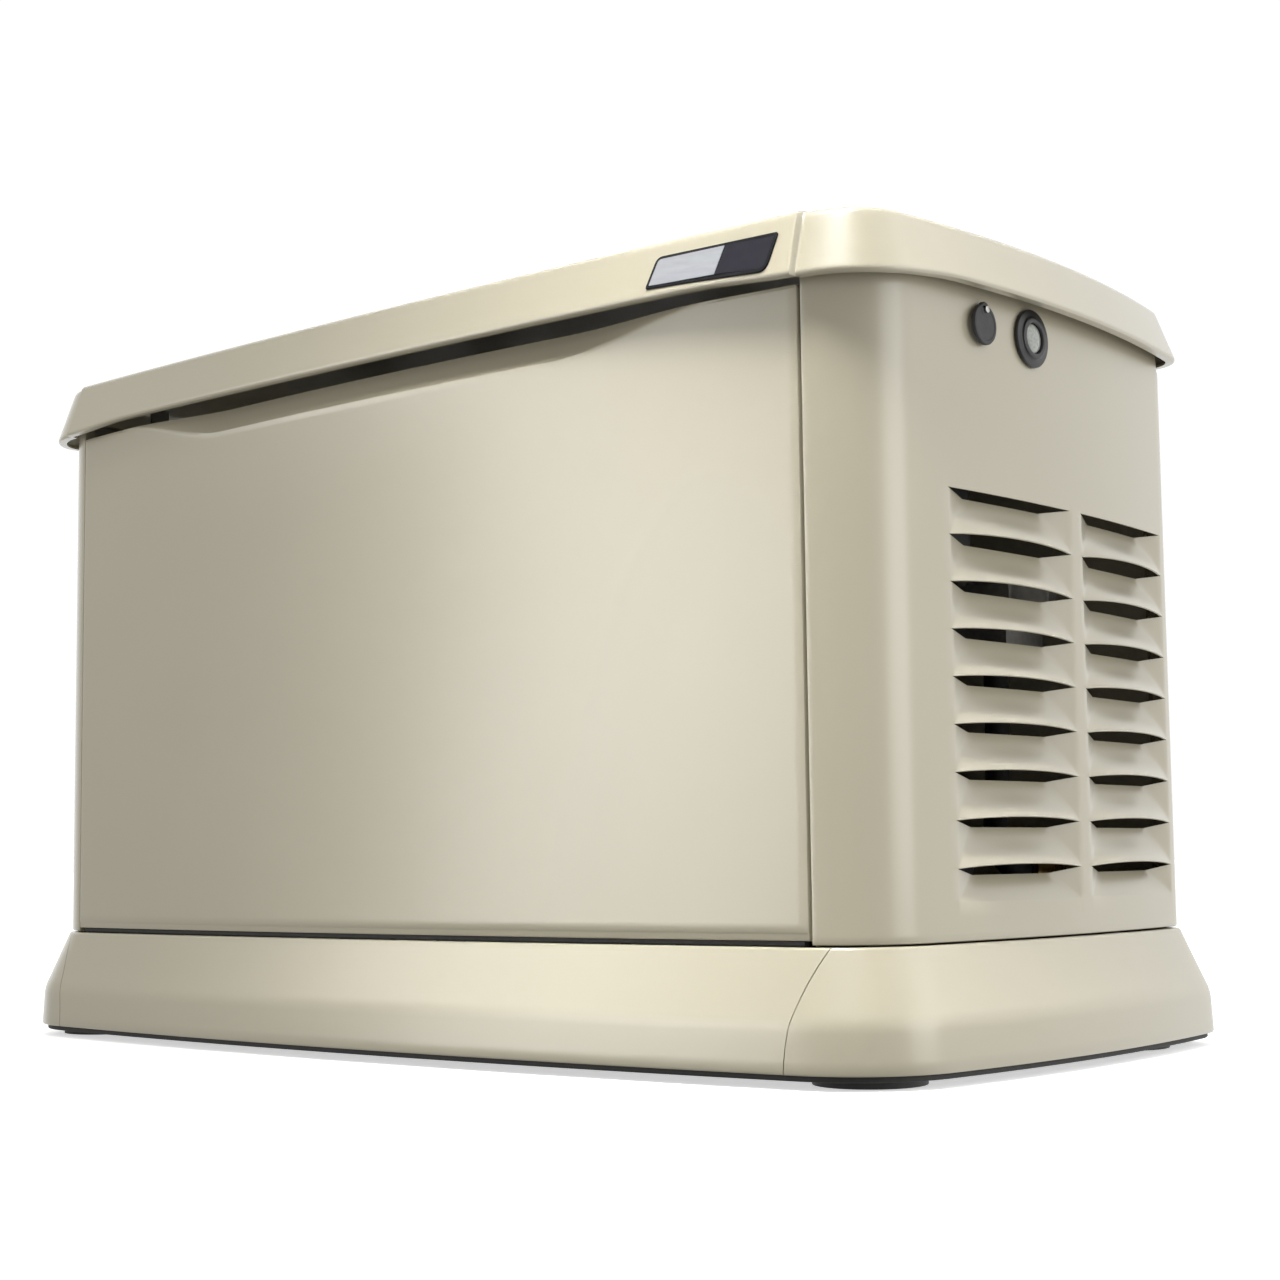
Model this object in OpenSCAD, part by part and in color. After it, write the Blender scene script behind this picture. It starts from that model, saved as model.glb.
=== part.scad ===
// Home standby generator: a weatherproof steel enclosure on a moulded base, with a
// V-twin gas engine, an alternator, a muffler, a battery and a controller inside.
// Millimetres. X runs along the length, the front faces -Y, Z is up.
// The origin is on the ground, in the middle of the footprint.

/* [Enclosure] */
// Length over the skirt
skirt_length = 1218; // [1214:1:1222]
// Half of the depth over the skirt
skirt_half_depth = 319; // [317:1:321]
// Length over the side panels
body_length = 1156; // [1152:1:1160]
// Distance from the middle to the front panel
body_front = 287.5; // [286:0.5:289]
// Distance from the middle to the rear panel
body_rear = 284; // [283:0.5:285]
// How far the front of the body bows out
front_bow = 31; // [28:1:34]
// How far each side of the body bows out
side_bow = 23; // [20:1:26]
// Radius of the front corners of the body
corner_radius = 84; // [78:1:90]
// Thickness of the sheet steel
sheet = 2; // [1.6:0.1:2.4]
// Height of the joint between the skirt and the panels
panel_z = 114.5; // [113:0.5:116]
// Half of the width of the front panel
front_half = 500; // [498:1:501]
// Height of the top edge of the front panel
front_top = 666; // [664:1:667]

/* [Roof] */
// Length over the lip of the roof
roof_length = 1204; // [1200:1:1208]
// Distance from the middle to the front lip beside the visor
roof_front = 290; // [289:0.5:292]
// Height of the lower edge of the roof
roof_lip_z = 674.5; // [673:0.5:676]
// Height of the whole unit
total_height = 732; // [730:1:734]
// How far the visor stands out in front of the roof's corners
visor_step = 7; // [4:1:9]

/* [Side louvers] */
// Number of slots in a column
louver_rows = 9; // [6:1:9]
// Height of the upper edge of the first slot
louver_top = 499; // [495:1:502]
// Distance from one slot to the next
louver_pitch = 40.5; // [39.5:0.5:41]

/* [Lock and status light] */
// Place of the lock along the side
lock_y = -98; // [-105:1:-90]
// Height of the lock
lock_z = 647; // [643:1:649]
// Place of the status light along the side
light_y = -18; // [-22:1:-10]
// Height of the status light
light_z = 648; // [645:1:651]

/* [Engine and alternator] */
// Height of the crankshaft
crank_z = 225; // [222:1:228]
// Bore of each cylinder
cylinder_bore = 84; // [82:0.5:85]
// Stroke: twice the throw of the crankshaft
stroke = 73; // [70:0.5:74]
// Outer radius of the alternator's stator
stator_radius = 112; // [108:1:114]

/* [Mounting] */
// Distance between the anchor holes along the length
anchor_x = 1040; // [1020:5:1050]
// Distance between the anchor holes across the depth
anchor_y = 420; // [400:5:440]
// Diameter of each anchor hole
anchor_hole = 13; // [11:0.5:14]

/* [Hidden] */

// Colours
paint = [0.80, 0.76, 0.65];
black_plastic = [0.10, 0.10, 0.10];
dark_grey = [0.25, 0.25, 0.26];
cast_grey = [0.62, 0.63, 0.64];
zinc = [0.72, 0.73, 0.75];
rubber_black = [0.06, 0.06, 0.06];
steel_dark = [0.40, 0.40, 0.42];
copper = [0.65, 0.36, 0.20];
red = [0.70, 0.10, 0.08];

// Running clearance on the radius of each turning shaft
run_gap = 0.05;
eps = 0.01;

// Heights of the base and of the skirt
foot_z = 7;
plate_top = 13;
skirt_z = 12;
skirt_break_z = 53;
pan_rim_z = 111;
skirt_wall = 3;

// Shapes of the plan outlines:
// [length, front half depth, front bow, side bow, corner radius, rear half depth, rear radius]
body = [body_length, body_front, front_bow, side_bow, corner_radius, body_rear, 32];
roof = [roof_length, roof_front, 17, 30, 80, 290, 38];
skirt = [skirt_length, skirt_half_depth, 39, 30, 104, skirt_half_depth, 60];

side_top = 700;
seam_gap = 2.5;
visor_end = 503;
roof_wall = 2.5;
roof_slant = 17;
// Angle between the roof's rim and the vertical
roof_lean = atan((roof_slant - 1) / (total_height - 14.5 - roof_lip_z));

// Hinge axis of the roof, behind the rear lip
hinge_y = 296;
hinge_z = 671;
hinge_xs = [-400, 0, 400];

function mix(a, b, t) = a + (b - a) * t;
function ease(t) = let (u = min(1, max(0, t))) u * u * (3 - 2 * u);

// Radius of the arc with this half chord and this rise
function bow_radius(half, rise) = (half * half + rise * rise) / (2 * rise);

// The point to the right of the line from c1 to c2 where two circles meet
function circles_meet(c1, r1, c2, r2) =
    let (d = norm(c2 - c1),
        a = (r1 * r1 - r2 * r2 + d * d) / (2 * d),
        h = sqrt(r1 * r1 - a * a),
        u = (c2 - c1) / d)
    c1 + a * u + h * [-u.y, u.x];

function front_radius(s) = bow_radius(s[0] / 2, s[2]);
function side_radius(s) = bow_radius(s[1], s[3]);
function front_centre(s) = [0, front_radius(s) - s[1]];
function side_centre(s) = [s[0] / 2 - side_radius(s), 0];
function corner_centre(s) =
    circles_meet(front_centre(s), front_radius(s) - s[4], side_centre(s), side_radius(s) - s[4]);
function rear_centre(s) =
    [side_centre(s).x + sqrt(pow(side_radius(s) - s[6], 2) - pow(s[5] - s[6], 2)), s[5] - s[6]];

// Front surface at x and side surface at y, moved outward by d
function front_y(s, x, d = 0) = front_centre(s).y - sqrt(pow(front_radius(s) + d, 2) - x * x);
function side_x(s, y, d = 0) = side_centre(s).x + sqrt(pow(side_radius(s) + d, 2) - y * y);

function heading(from, to) = atan2(to.y - from.y, to.x - from.x);
function arc(c, r, a0, a1, n, first = 1) =
    [for (i = [first : n]) let (a = a0 + (a1 - a0) * i / n) c + r * [cos(a), sin(a)]];

// Right half of an outline moved outward by d, from the middle of the front to the rear corner.
// The front is sampled at xs, and stands out by step as far as xs[step_count - 1].
function half_outline(s, d, xs, step, step_count) =
    let (fc = front_centre(s), cc = corner_centre(s), sc = side_centre(s), rc = rear_centre(s),
        a0 = heading(fc, cc), a1 = heading(sc, cc), a2 = heading(sc, rc))
    concat([for (i = [0 : len(xs) - 1])
            [xs[i], front_y(s, xs[i], d) - (i < step_count ? step : 0)]],
        arc(cc, s[4] + d, a0, a1, 8, 0),
        arc(sc, side_radius(s) + d, a1, a2, 8),
        arc(rc, s[6] + d, a2, 90, 4));

plain_xs = [for (i = [0 : 9]) i * 50];
function outline(s, d = 0, xs = plain_xs, step = 0, step_count = 0) =
    let (half = half_outline(s, d, xs, step, step_count))
    concat(half, [for (i = [len(half) - 1 : -1 : 1]) [-half[i].x, half[i].y]]);

function at_z(points, z) = [for (p = points) [p.x, p.y, z]];
function shrink(points, k) = [for (p = points) p * k];

// A solid between rings of equal length. Each ring is flat and runs anticlockwise
// about the direction in which the rings follow one another.
module loft(rings) {
    n = len(rings[0]);
    last = len(rings) - 1;
    points = [for (ring = rings) for (p = ring) p];
    sides = [for (k = [0 : last - 1]) for (i = [0 : n - 1])
        let (j = (i + 1) % n, a = k * n + i, b = k * n + j)
        each [[a, a + n, b + n], [a, b + n, b]]];
    first_face = [for (i = [0 : n - 1]) i];
    last_face = [for (i = [n - 1 : -1 : 0]) last * n + i];
    polyhedron(points = points, faces = concat([first_face], sides, [last_face]));
}

function unit(v) = v / norm(v);
// A smooth route through the middles of a bent line's legs, with n points a bend
function smooth_route(p, n) = concat([p[0]],
    [for (i = [1 : len(p) - 2]) for (k = [0 : n - 1])
        let (t = k / n, a = (p[i - 1] + p[i]) / 2, b = (p[i] + p[i + 1]) / 2)
        (1 - t) * (1 - t) * a + 2 * t * (1 - t) * p[i] + t * t * b],
    [(p[len(p) - 2] + p[len(p) - 1]) / 2, p[len(p) - 1]]);
function travel(p, i) = unit(p[min(i + 1, len(p) - 1)] - p[max(i - 1, 0)]);

// A round hose of radius r along a smooth route
module hose(route, r, sides = 10, bend = 5) {
    skew = [0.31, 0.52, 0.8];
    p = smooth_route(route, bend);
    loft([for (i = [0 : len(p) - 1])
        let (t = travel(p, i), a = unit(cross(t, skew)), b = cross(t, a))
        [for (k = [0 : sides - 1])
            p[i] + r * (cos(360 * k / sides) * a + sin(360 * k / sides) * b)]]);
}

// A plate with round corners: size [x, y, z], standing on its middle
module rounded_plate(size, r) {
    linear_extrude(size.z) rounded_square([size.x, size.y], r);
}
module rounded_square(size, r) {
    square([size.x - 2 * r, size.y], center = true);
    square([size.x, size.y - 2 * r], center = true);
    for (i = [-1, 1]) for (j = [-1, 1])
        translate([i * (size.x / 2 - r), j * (size.y / 2 - r)]) circle(r);
}
// A cylinder along X, from x0 to x1
module rod_x(x0, x1, r, fn = 48) {
    translate([x0, 0, 0]) rotate([0, 90, 0]) cylinder(h = x1 - x0, r = r, $fn = fn);
}
// A tube along X
module tube_x(x0, x1, r_out, r_in) {
    difference() {
        rod_x(x0, x1, r_out);
        rod_x(x0 - 1, x1 + 1, r_in);
    }
}
module mirror_pair() {
    children();
    mirror([1, 0, 0]) children();
}
module on_crank_axis() {
    translate([0, 0, crank_z]) children();
}

// ---------------------------------------------------------------- base and skirt

// A wall that follows the body outline between two distances from it
module body_wall(d_in, d_out, z0, z1) {
    translate([0, 0, z0]) linear_extrude(z1 - z0) difference() {
        polygon(outline(body, d_out));
        polygon(outline(body, d_in));
    }
}

module anchor_places() {
    for (i = [-1, 1]) for (j = [-1, 1]) translate([i * anchor_x / 2, j * anchor_y / 2, 0]) children();
}

module base_pan() color(black_plastic) {
    foot_xs = [-anchor_x / 2, 0, anchor_x / 2];
    difference() {
        union() {
            translate([0, 0, foot_z]) linear_extrude(plate_top - foot_z) polygon(outline(body, 6));
            translate([0, 0, foot_z]) linear_extrude(skirt_z - foot_z) polygon(outline(skirt, -6));
            body_wall(-9, -4, plate_top - 1, pan_rim_z);
            for (x = foot_xs) for (j = [-1, 1]) translate([x, j * anchor_y / 2, 0])
                cylinder(h = foot_z + 1, r = 48, $fn = 64);
            for (x = [exhaust_wall_x, control_wall_x]) translate([x - 3, -252, plate_top - 1]) cube([8, 504, 14]);
        }
        anchor_places() translate([0, 0, -1]) cylinder(h = plate_top + 2, d = anchor_hole, $fn = 48);
    }
}

// Outline of the skirt at a height: vertical to the break, then leaning in to the body
module skirt_body() {
    difference() {
        loft([at_z(outline(skirt, -1), skirt_z), at_z(outline(skirt, 0), skirt_z + 4),
            at_z(outline(skirt, -2), skirt_break_z - 3), at_z(outline(skirt, -4), skirt_break_z + 3),
            at_z(outline(body, 3), panel_z - 3), at_z(outline(body, 1), panel_z)]);
        loft([at_z(outline(skirt, -skirt_wall - 1), skirt_z - 1), at_z(outline(skirt, -skirt_wall - 2), skirt_break_z - 3),
            at_z(outline(skirt, -skirt_wall - 4), skirt_break_z + 1), at_z(outline(body, -1), panel_z - skirt_wall - 2),
            at_z(outline(body, -3), panel_z - skirt_wall), at_z(outline(body, -3), panel_z + 1)]);
    }
}
skirt_seam = 506;
seam_half_gap = 0.3;
module skirt_piece(x0, x1, y0, y1) {
    intersection() {
        skirt_body();
        translate([x0, y0, 0]) cube([x1 - x0, y1 - y0, panel_z + 5]);
    }
}
reach = 700;
module skirt_front() color(paint)
    skirt_piece(-skirt_seam + seam_half_gap, skirt_seam - seam_half_gap, -reach, 0);
module skirt_rear() color(paint)
    skirt_piece(-skirt_seam + seam_half_gap, skirt_seam - seam_half_gap, 0, reach);
module skirt_right() color(paint)
    skirt_piece(skirt_seam + seam_half_gap, reach, -reach, reach);
module skirt_left() color(paint)
    skirt_piece(-reach, -skirt_seam - seam_half_gap, -reach, reach);

// ---------------------------------------------------------------- body panels

side_front_x = front_half + seam_gap;
rear_edge_x = 530;
louver_depth = 13;
blade_thickness = 1.5;
slot_drop = 6;
columns = [[-150, 46], [66, 250]];
louver_low = louver_top - louver_rows * louver_pitch + 10;

// One slanted blade: its top edge lies inside the wall, its lower edge on the face
module blade(width, height) {
    rotate([90, 0, 0]) translate([0, 0, -width / 2]) linear_extrude(width)
        polygon([[-louver_depth, height], [1, 0], [1, -3], [-louver_depth - blade_thickness, height]]);
}
// A column of louvers in a window between y0 and y1, with a jamb at each end
module louver_column(y0, y1) {
    width = y1 - y0;
    lean = atan((side_x(body, y1) - side_x(body, y0)) / width);
    face = (side_x(body, y0) + side_x(body, y1)) / 2;
    translate([face, (y0 + y1) / 2, 0]) rotate([0, 0, -lean]) {
        for (i = [0 : louver_rows - 1])
            translate([0, 0, louver_top - (i + 1) * louver_pitch]) blade(width + 1, louver_pitch - slot_drop);
        for (j = [-1, 1])
            translate([-louver_depth - 1, j * width / 2 - 1, louver_low - 10])
                cube([louver_depth + 1, 2, louver_top - louver_low + 14]);
    }
}
module lock_place() {
    translate([side_x(body, lock_y), lock_y, lock_z]) children();
}
module light_place() {
    translate([side_x(body, light_y), light_y, light_z]) children();
}
barrel_hole = 9.3;
light_hole = 15;

module side_panel() color(paint) {
    difference() {
        union() {
            intersection() {
                union() {
                    body_wall(-sheet, 0, panel_z, side_top);
                    body_wall(-14, -sheet + eps, panel_z, panel_z + sheet);
                    body_wall(-9, -sheet + eps, side_top - sheet, side_top);
                }
                union() {
                    translate([side_front_x, -reach, 0]) cube([reach, reach, side_top]);
                    translate([rear_edge_x, -1, 0]) cube([reach, 261, side_top]);
                    translate([rear_edge_x, 0, 0]) cube([reach, reach, front_top]);
                }
            }
            // Returned front edge behind the seam, and the stop that the front panel closes on
            translate([side_front_x, front_y(body, side_front_x) + 1, panel_z])
                cube([sheet, 18, front_top - panel_z]);
            translate([side_front_x - 24, front_y(body, side_front_x) + 17, panel_z])
                cube([24 + sheet, sheet, front_top - panel_z]);
        }
        for (c = columns) translate([side_x(body, c[1]) - 30, c[0], louver_low - 8])
            cube([60, c[1] - c[0], louver_top - louver_low + 8]);
        lock_place() rod_x(-20, 20, barrel_hole);
        light_place() rod_x(-20, 20, light_hole);
    }
    for (c = columns) louver_column(c[0], c[1]);
}
module side_panel_right() side_panel();
module side_panel_left() mirror([1, 0, 0]) side_panel();

conduit_xs = [440, 480];
conduit_z = 131;
conduit_r = 14;
fuel_x = 400;
fuel_z = 172;
rear_slot = [150, 7];

module rear_panel() color(paint) {
    half = rear_edge_x - 1;
    difference() {
        union() {
            translate([-half, body_rear - sheet, panel_z]) cube([2 * half, sheet, front_top - panel_z]);
            translate([-half, body_rear - 14, panel_z]) cube([2 * half, 12 + eps, sheet]);
            translate([-half, body_rear - 14, front_top - sheet]) cube([2 * half, 12 + eps, sheet]);
        }
        for (x = [-430, -110, 130]) for (i = [0 : 9])
            translate([x - rear_slot.x / 2, body_rear - 5, 300 + i * 22]) cube([rear_slot.x, 10, rear_slot.y]);
        for (x = conduit_xs) translate([x, body_rear + 5, conduit_z]) rotate([90, 0, 0])
            cylinder(h = 10, r = conduit_r, $fn = 48);
        translate([fuel_x, body_rear + 5, fuel_z]) rotate([90, 0, 0]) cylinder(h = 10, r = 20, $fn = 48);
    }
}

// Depth and outline of the finger recess in the front panel's top edge
recess_depth = 22;
recess_drop = 27;
recess_in = 235;
recess_out = 415;
function recess(x) = ease((recess_out - abs(x)) / (recess_out - recess_in));
front_bottom = 118;
panel_xs = [for (i = [-20 : 20]) i * front_half / 20];

// The front panel's section at x: a flat sheet whose top leans back in the recess
function panel_section(x) =
    let (y = front_y(body, x), k = recess(x), bend = front_top - 1 - (recess_drop - 1) * k, back = recess_depth * k)
    [[x, y + 1, front_bottom], [x, y + 1 + sheet, front_bottom], [x, y + sheet, front_bottom + 7],
        [x, y + sheet, bend - 2], [x, y + sheet + back, front_top - 2],
        [x, y + back, front_top], [x, y, bend], [x, y, front_bottom + 7]];

module front_panel() color(paint) {
    loft([for (x = panel_xs) panel_section(x)]);
    for (side = [-1, 1])
        translate([side * (front_half - sheet / 2) - sheet / 2, front_y(body, front_half) + 0.5, front_bottom + 8])
            cube([sheet, 13, front_top - front_bottom - 20]);
    for (x = [-250, 0, 250])
        translate([x - 15, front_y(body, x) + 1.5, front_bottom + 60]) cube([30, 12, front_top - front_bottom - 140]);
}

module divider_holes(x, holes) {
    for (h = holes) translate([x - 5, h[0], h[1]]) rotate([0, 90, 0]) cylinder(h = 10, r = h[2], $fn = 48);
}
exhaust_wall_x = -332;
control_wall_x = 298;
pipe_y = 222;
pipe_z = 262;
module divider_exhaust() color(zinc) difference() {
    union() {
        translate([exhaust_wall_x, -252, 26]) cube([sheet, 504, 610]);
        translate([exhaust_wall_x - 16, -252, 26]) cube([17, 504, sheet]);
        translate([exhaust_wall_x - 16, -252, 634]) cube([17, 504, sheet]);
    }
    divider_holes(exhaust_wall_x, [[-pipe_y, pipe_z, 26], [pipe_y, pipe_z, 26], [0, crank_z, 90]]);
}
module divider_control() color(zinc) difference() {
    union() {
        translate([control_wall_x, -252, 26]) cube([sheet, 504, 610]);
        translate([control_wall_x, -252, 26]) cube([17, 504, sheet]);
        translate([control_wall_x, -252, 634]) cube([17, 504, sheet]);
    }
    divider_holes(control_wall_x, [[0, crank_z, 100], [120, 470, 16], [-150, 60, 18]]);
}

module panel_screws() color(steel_dark) {
    for (side = [-1, 1]) for (z = [140, 320, 500, 640])
        translate([side * (rear_edge_x - 12), body_rear, z]) rotate([-90, 0, 0]) {
            cylinder(h = 1.5, r = 7, $fn = 32);
            cylinder(h = 5, r = 4.6, $fn = 6);
        }
}

// ---------------------------------------------------------------- roof and its hinges

visor_xs = [0, 100, 200, 300, 350, 400, 430, 460, visor_end - 3, visor_end, visor_end + 4];
visor_points = 10;
// How far the lip hangs lower than at the sides: a little in front, most at the front corners
front_dip = 1.2;
corner_dip = 6;
function lip_dip(p) =
    mix(front_dip, corner_dip, ease((abs(p.x) - 400) / 110)) * (1 - ease((p.y + 255) / 105));
function roof_line(d) = outline(roof, d, visor_xs, visor_step, visor_points);
function roof_ring(d, z) = at_z(roof_line(d), z);
function lip_ring(d, z) = let (share = (total_height - 9.5 - z) / (total_height - 9.5 - roof_lip_z))
    [for (p = roof_line(d)) [p.x, p.y, z - share * lip_dip(p)]];
function roof_cap(k, z) = at_z(shrink(roof_line(-roof_slant - 12), k), z);

// From the middle of the ceiling down the inside, round the lip and up the outside
module roof_shell() color(paint) loft([roof_cap(0.2, total_height - 3), roof_cap(0.7, total_height - 4),
    roof_ring(-roof_slant - roof_wall - 7, total_height - 6.5), roof_ring(-roof_slant - roof_wall, total_height - 11),
    lip_ring(-roof_wall - 1.5, roof_lip_z + 2.5), lip_ring(-8, roof_lip_z + 2), lip_ring(-8, roof_lip_z),
    lip_ring(-1.5, roof_lip_z), lip_ring(0, roof_lip_z + 2), lip_ring(-1, roof_lip_z + 5),
    roof_ring(-roof_slant, total_height - 9.5), roof_ring(-roof_slant - 3.5, total_height - 5),
    roof_ring(-roof_slant - 12, total_height - 2.8), roof_cap(0.7, total_height - 1), roof_cap(0.2, total_height)]);

// The name plate's blank: a slanted plate on the visor, near its right end
module badge_plate() color(dark_grey) {
    x = 423;
    turn = atan((front_y(roof, x + 10) - front_y(roof, x - 10)) / 20);
    translate([x, front_y(roof, x) - visor_step + 7.35, 696.3]) rotate([0, 0, turn]) rotate([90 - roof_lean, 0, 0])
        linear_extrude(1.6) polygon([[-67, -13], [56, -14], [66, 13], [-57, 14]]);
}

knuckle_r = 5;
hinge_pin_r = 2.5;
hinge_half = 30;
knuckle_split = 10;
module wall_hinge_leaves() color(zinc) for (x = hinge_xs) translate([x, hinge_y, hinge_z]) {
    for (side = [-1, 1]) rod_x(side > 0 ? knuckle_split : -hinge_half, side > 0 ? hinge_half : -knuckle_split, knuckle_r, 32);
    rod_x(-hinge_half, hinge_half, hinge_pin_r, 32);
    for (side = [-1, 1])
        translate([side > 0 ? knuckle_split : -hinge_half, body_rear - hinge_y, -30])
            cube([hinge_half - knuckle_split, 8.5, 27]);
    translate([-hinge_half, body_rear - hinge_y, -30]) cube([2 * hinge_half, 3, 20]);
}
module roof_hinge_leaves() color(zinc) for (x = hinge_xs) translate([x, hinge_y, hinge_z]) difference() {
    union() {
        rod_x(-knuckle_split + 0.4, knuckle_split - 0.4, knuckle_r, 32);
        translate([-knuckle_split + 0.4, -4.5, 2]) rotate([roof_lean, 0, 0]) cube([2 * knuckle_split - 0.8, 2.5, 24]);
    }
    rod_x(-hinge_half, hinge_half, hinge_pin_r + run_gap, 32);
}
// Hooks that hang from the roof above the lock cams
module latch_strike() {
    translate([540, lock_y - 46, lock_z - 10]) {
        cube([2.5, 26, 100]);
        cube([19, 26, 2.5]);
    }
}
module latch_strikes() color(zinc) intersection() {
    mirror_pair() latch_strike();
    loft([roof_ring(-8, lock_z - 30), roof_ring(-8, roof_lip_z + 2), roof_ring(-roof_slant - roof_wall, total_height - 11),
        roof_ring(-roof_slant - roof_wall - 7, total_height - 6.5), roof_cap(0.7, total_height - 4)]);
}

// ---------------------------------------------------------------- locks and status light

core_r = 7;
ear_z = 13;
// A flange whose back follows the wall
module lock_flange() difference() {
    lock_place() rod_x(-2, 2.5, 13);
    translate([0, 0, lock_z - 20]) linear_extrude(40) polygon(outline(body, 0.03));
}
module lock_barrel() {
    difference() {
        union() {
            lock_place() rod_x(-16, 2.4, 9);
            lock_flange();
        }
        lock_place() rod_x(-17, 3, core_r + run_gap);
    }
    lock_place() translate([0, 0, ear_z]) {
        rod_x(1, 7.5, 1.5, 24);
        rod_x(7.5, 9, 3, 24);
    }
}
module lock_barrels() color(zinc) mirror_pair() lock_barrel();
module lock_core() color(steel_dark) lock_place() difference() {
    union() {
        rod_x(-22, 2, core_r);
        translate([-21, -6, 0]) cube([3, 12, 31]);
    }
    translate([1, -0.6, -4]) cube([2, 1.2, 8]);
}
module lock_core_right() lock_core();
module lock_core_left() mirror([1, 0, 0]) lock_core();
module lock_cover() color(rubber_black) lock_place() difference() {
    union() {
        rod_x(2.8, 7, 18, 64);
        translate([0, 0, ear_z]) rod_x(2.8, 7, 7, 32);
    }
    translate([0, 0, ear_z]) rod_x(2, 8, 1.5 + run_gap, 24);
}
module lock_cover_right() lock_cover();
module lock_cover_left() mirror([1, 0, 0]) lock_cover();

module status_bezel() color(black_plastic) light_place() difference() {
    union() {
        rod_x(1, 4, 26.5, 64);
        rod_x(3, 6.5, 19, 64);
        rod_x(-14, 2, light_hole - 0.3, 64);
    }
    rod_x(-15, 7, 13.5, 64);
}
module status_lens() color([0.45, 0.47, 0.48]) light_place() {
    rod_x(-10, 4.5, 13.3, 64);
}

// ---------------------------------------------------------------- engine

v_angle = 45;
crank_r = stroke / 2;
pin_x = [-109, -87];
case_deck = 102.1;
head_low = 184;
head_high = 246;
// Carries its children to a cylinder's frame, with Z out along the cylinder
module on_cylinder(i) {
    on_crank_axis() translate([pin_x[i], 0, 0]) rotate([i == 0 ? v_angle : -v_angle, 0, 0]) children();
}

module engine_cradle() color(steel_dark) {
    for (j = [-1, 1]) translate([-205, j * 110 - 15, 62]) cube([455, 30, 24]);
    for (x = [-160, 200]) translate([x - 15, -110, 62]) cube([30, 220, 20]);
}
mount_xs = [-160, 200];
module rubber_mounts() color(rubber_black) for (x = mount_xs) for (j = [-1, 1])
    translate([x, j * 110, plate_top]) {
        cylinder(h = 5, r = 30, $fn = 48);
        translate([0, 0, 4]) cylinder(h = 38, r1 = 26, r2 = 18, $fn = 48);
        translate([0, 0, 41]) cylinder(h = 8, r = 22, $fn = 48);
    }

case_x0 = -188;
case_x1 = -18;
filter_x = -92;
filter_z = 178;
dip_x = -30;
dip_tilt = 24;
module dip_place() {
    translate([dip_x, -88, 172]) rotate([dip_tilt, 0, 0]) children();
}
module crankcase() color(cast_grey) difference() {
    union() {
        on_crank_axis() rod_x(case_x0, case_x1, 96, 96);
        translate([case_x0, -84, 128]) cube([case_x1 - case_x0, 168, 90]);
        for (j = [-1, 1]) translate([case_x0 + 8, j * 108 - 18, 86]) cube([case_x1 - case_x0 - 16, 36, 12]);
        for (j = [-1, 1]) for (x = [case_x0 + 20, case_x1 - 44])
            translate([x, j * 80 - 18, 90]) cube([24, 36, 70]);
        for (i = [0, 1]) on_cylinder(i) translate([0, 0, 60]) rounded_plate([118, 118, 42], 14);
        // Bolted rim of the alternator side and the boss of the oil filter
        on_crank_axis() rod_x(case_x1 - 12, case_x1, 108, 96);
        translate([filter_x, -60, filter_z]) rotate([90, 0, 0]) cylinder(h = 48, r = 30, $fn = 48);
        dip_place() cylinder(h = 110, r = 9, $fn = 32);
    }
    on_crank_axis() {
        rod_x(case_x0 + 12, case_x1 - 14, 78, 96);
        rod_x(case_x0 - 1, case_x1 + 1, 20 + run_gap, 96);
    }
    for (i = [0, 1]) on_cylinder(i) cylinder(h = 110, r = cylinder_bore / 2 + 4, $fn = 96);
    dip_place() translate([0, 0, 10]) cylinder(h = 110, r = 5, $fn = 32);
    dip_place() translate([0, 0, 96]) cylinder(h = 20, r = 7, $fn = 32);
}
module cylinders() color(cast_grey) for (i = [0, 1]) on_cylinder(i) difference() {
    union() {
        translate([0, 0, case_deck]) cylinder(h = head_low - case_deck, r = cylinder_bore / 2 + 8, $fn = 96);
        translate([0, 0, case_deck]) rounded_plate([112, 112, 5], 14);
        for (k = [0 : 6]) translate([0, 0, 114 + k * 9.5]) rounded_plate([128, 128, 2.6], 26);
    }
    translate([0, 0, 90]) cylinder(h = 110, r = cylinder_bore / 2, $fn = 96);
}
// Spark plug seat, with Z out along the plug
module plug_place() {
    translate([-49, 0, head_low + 34]) rotate([0, -70, 0]) children();
}
module cylinder_heads() color(cast_grey) for (i = [0, 1]) on_cylinder(i) difference() {
    cylinder_head();
    plug_place() translate([0, 0, -run_gap]) cylinder(h = 60, r = 10.2, $fn = 48);
}
module cylinder_head() {
    translate([0, 0, head_low]) rounded_plate([112, 118, 10], 12);
    for (k = [0 : 3]) translate([0, 0, head_low + 14 + k * 9]) rounded_plate([126, 132, 2.8], 20);
    translate([0, 0, head_low + 9]) rounded_plate([100, 104, 40], 12);
    translate([0, 0, head_low + 48]) rounded_plate([108, 116, head_high - head_low - 48], 12);
    // Exhaust port on the outer side and inlet port on the inner side
    for (j = [-1, 1]) translate([0, j * 50, head_low + 26]) rotate([-90 * j, 0, 0])
        cylinder(h = 18, r = 22, $fn = 48);
}
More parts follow.
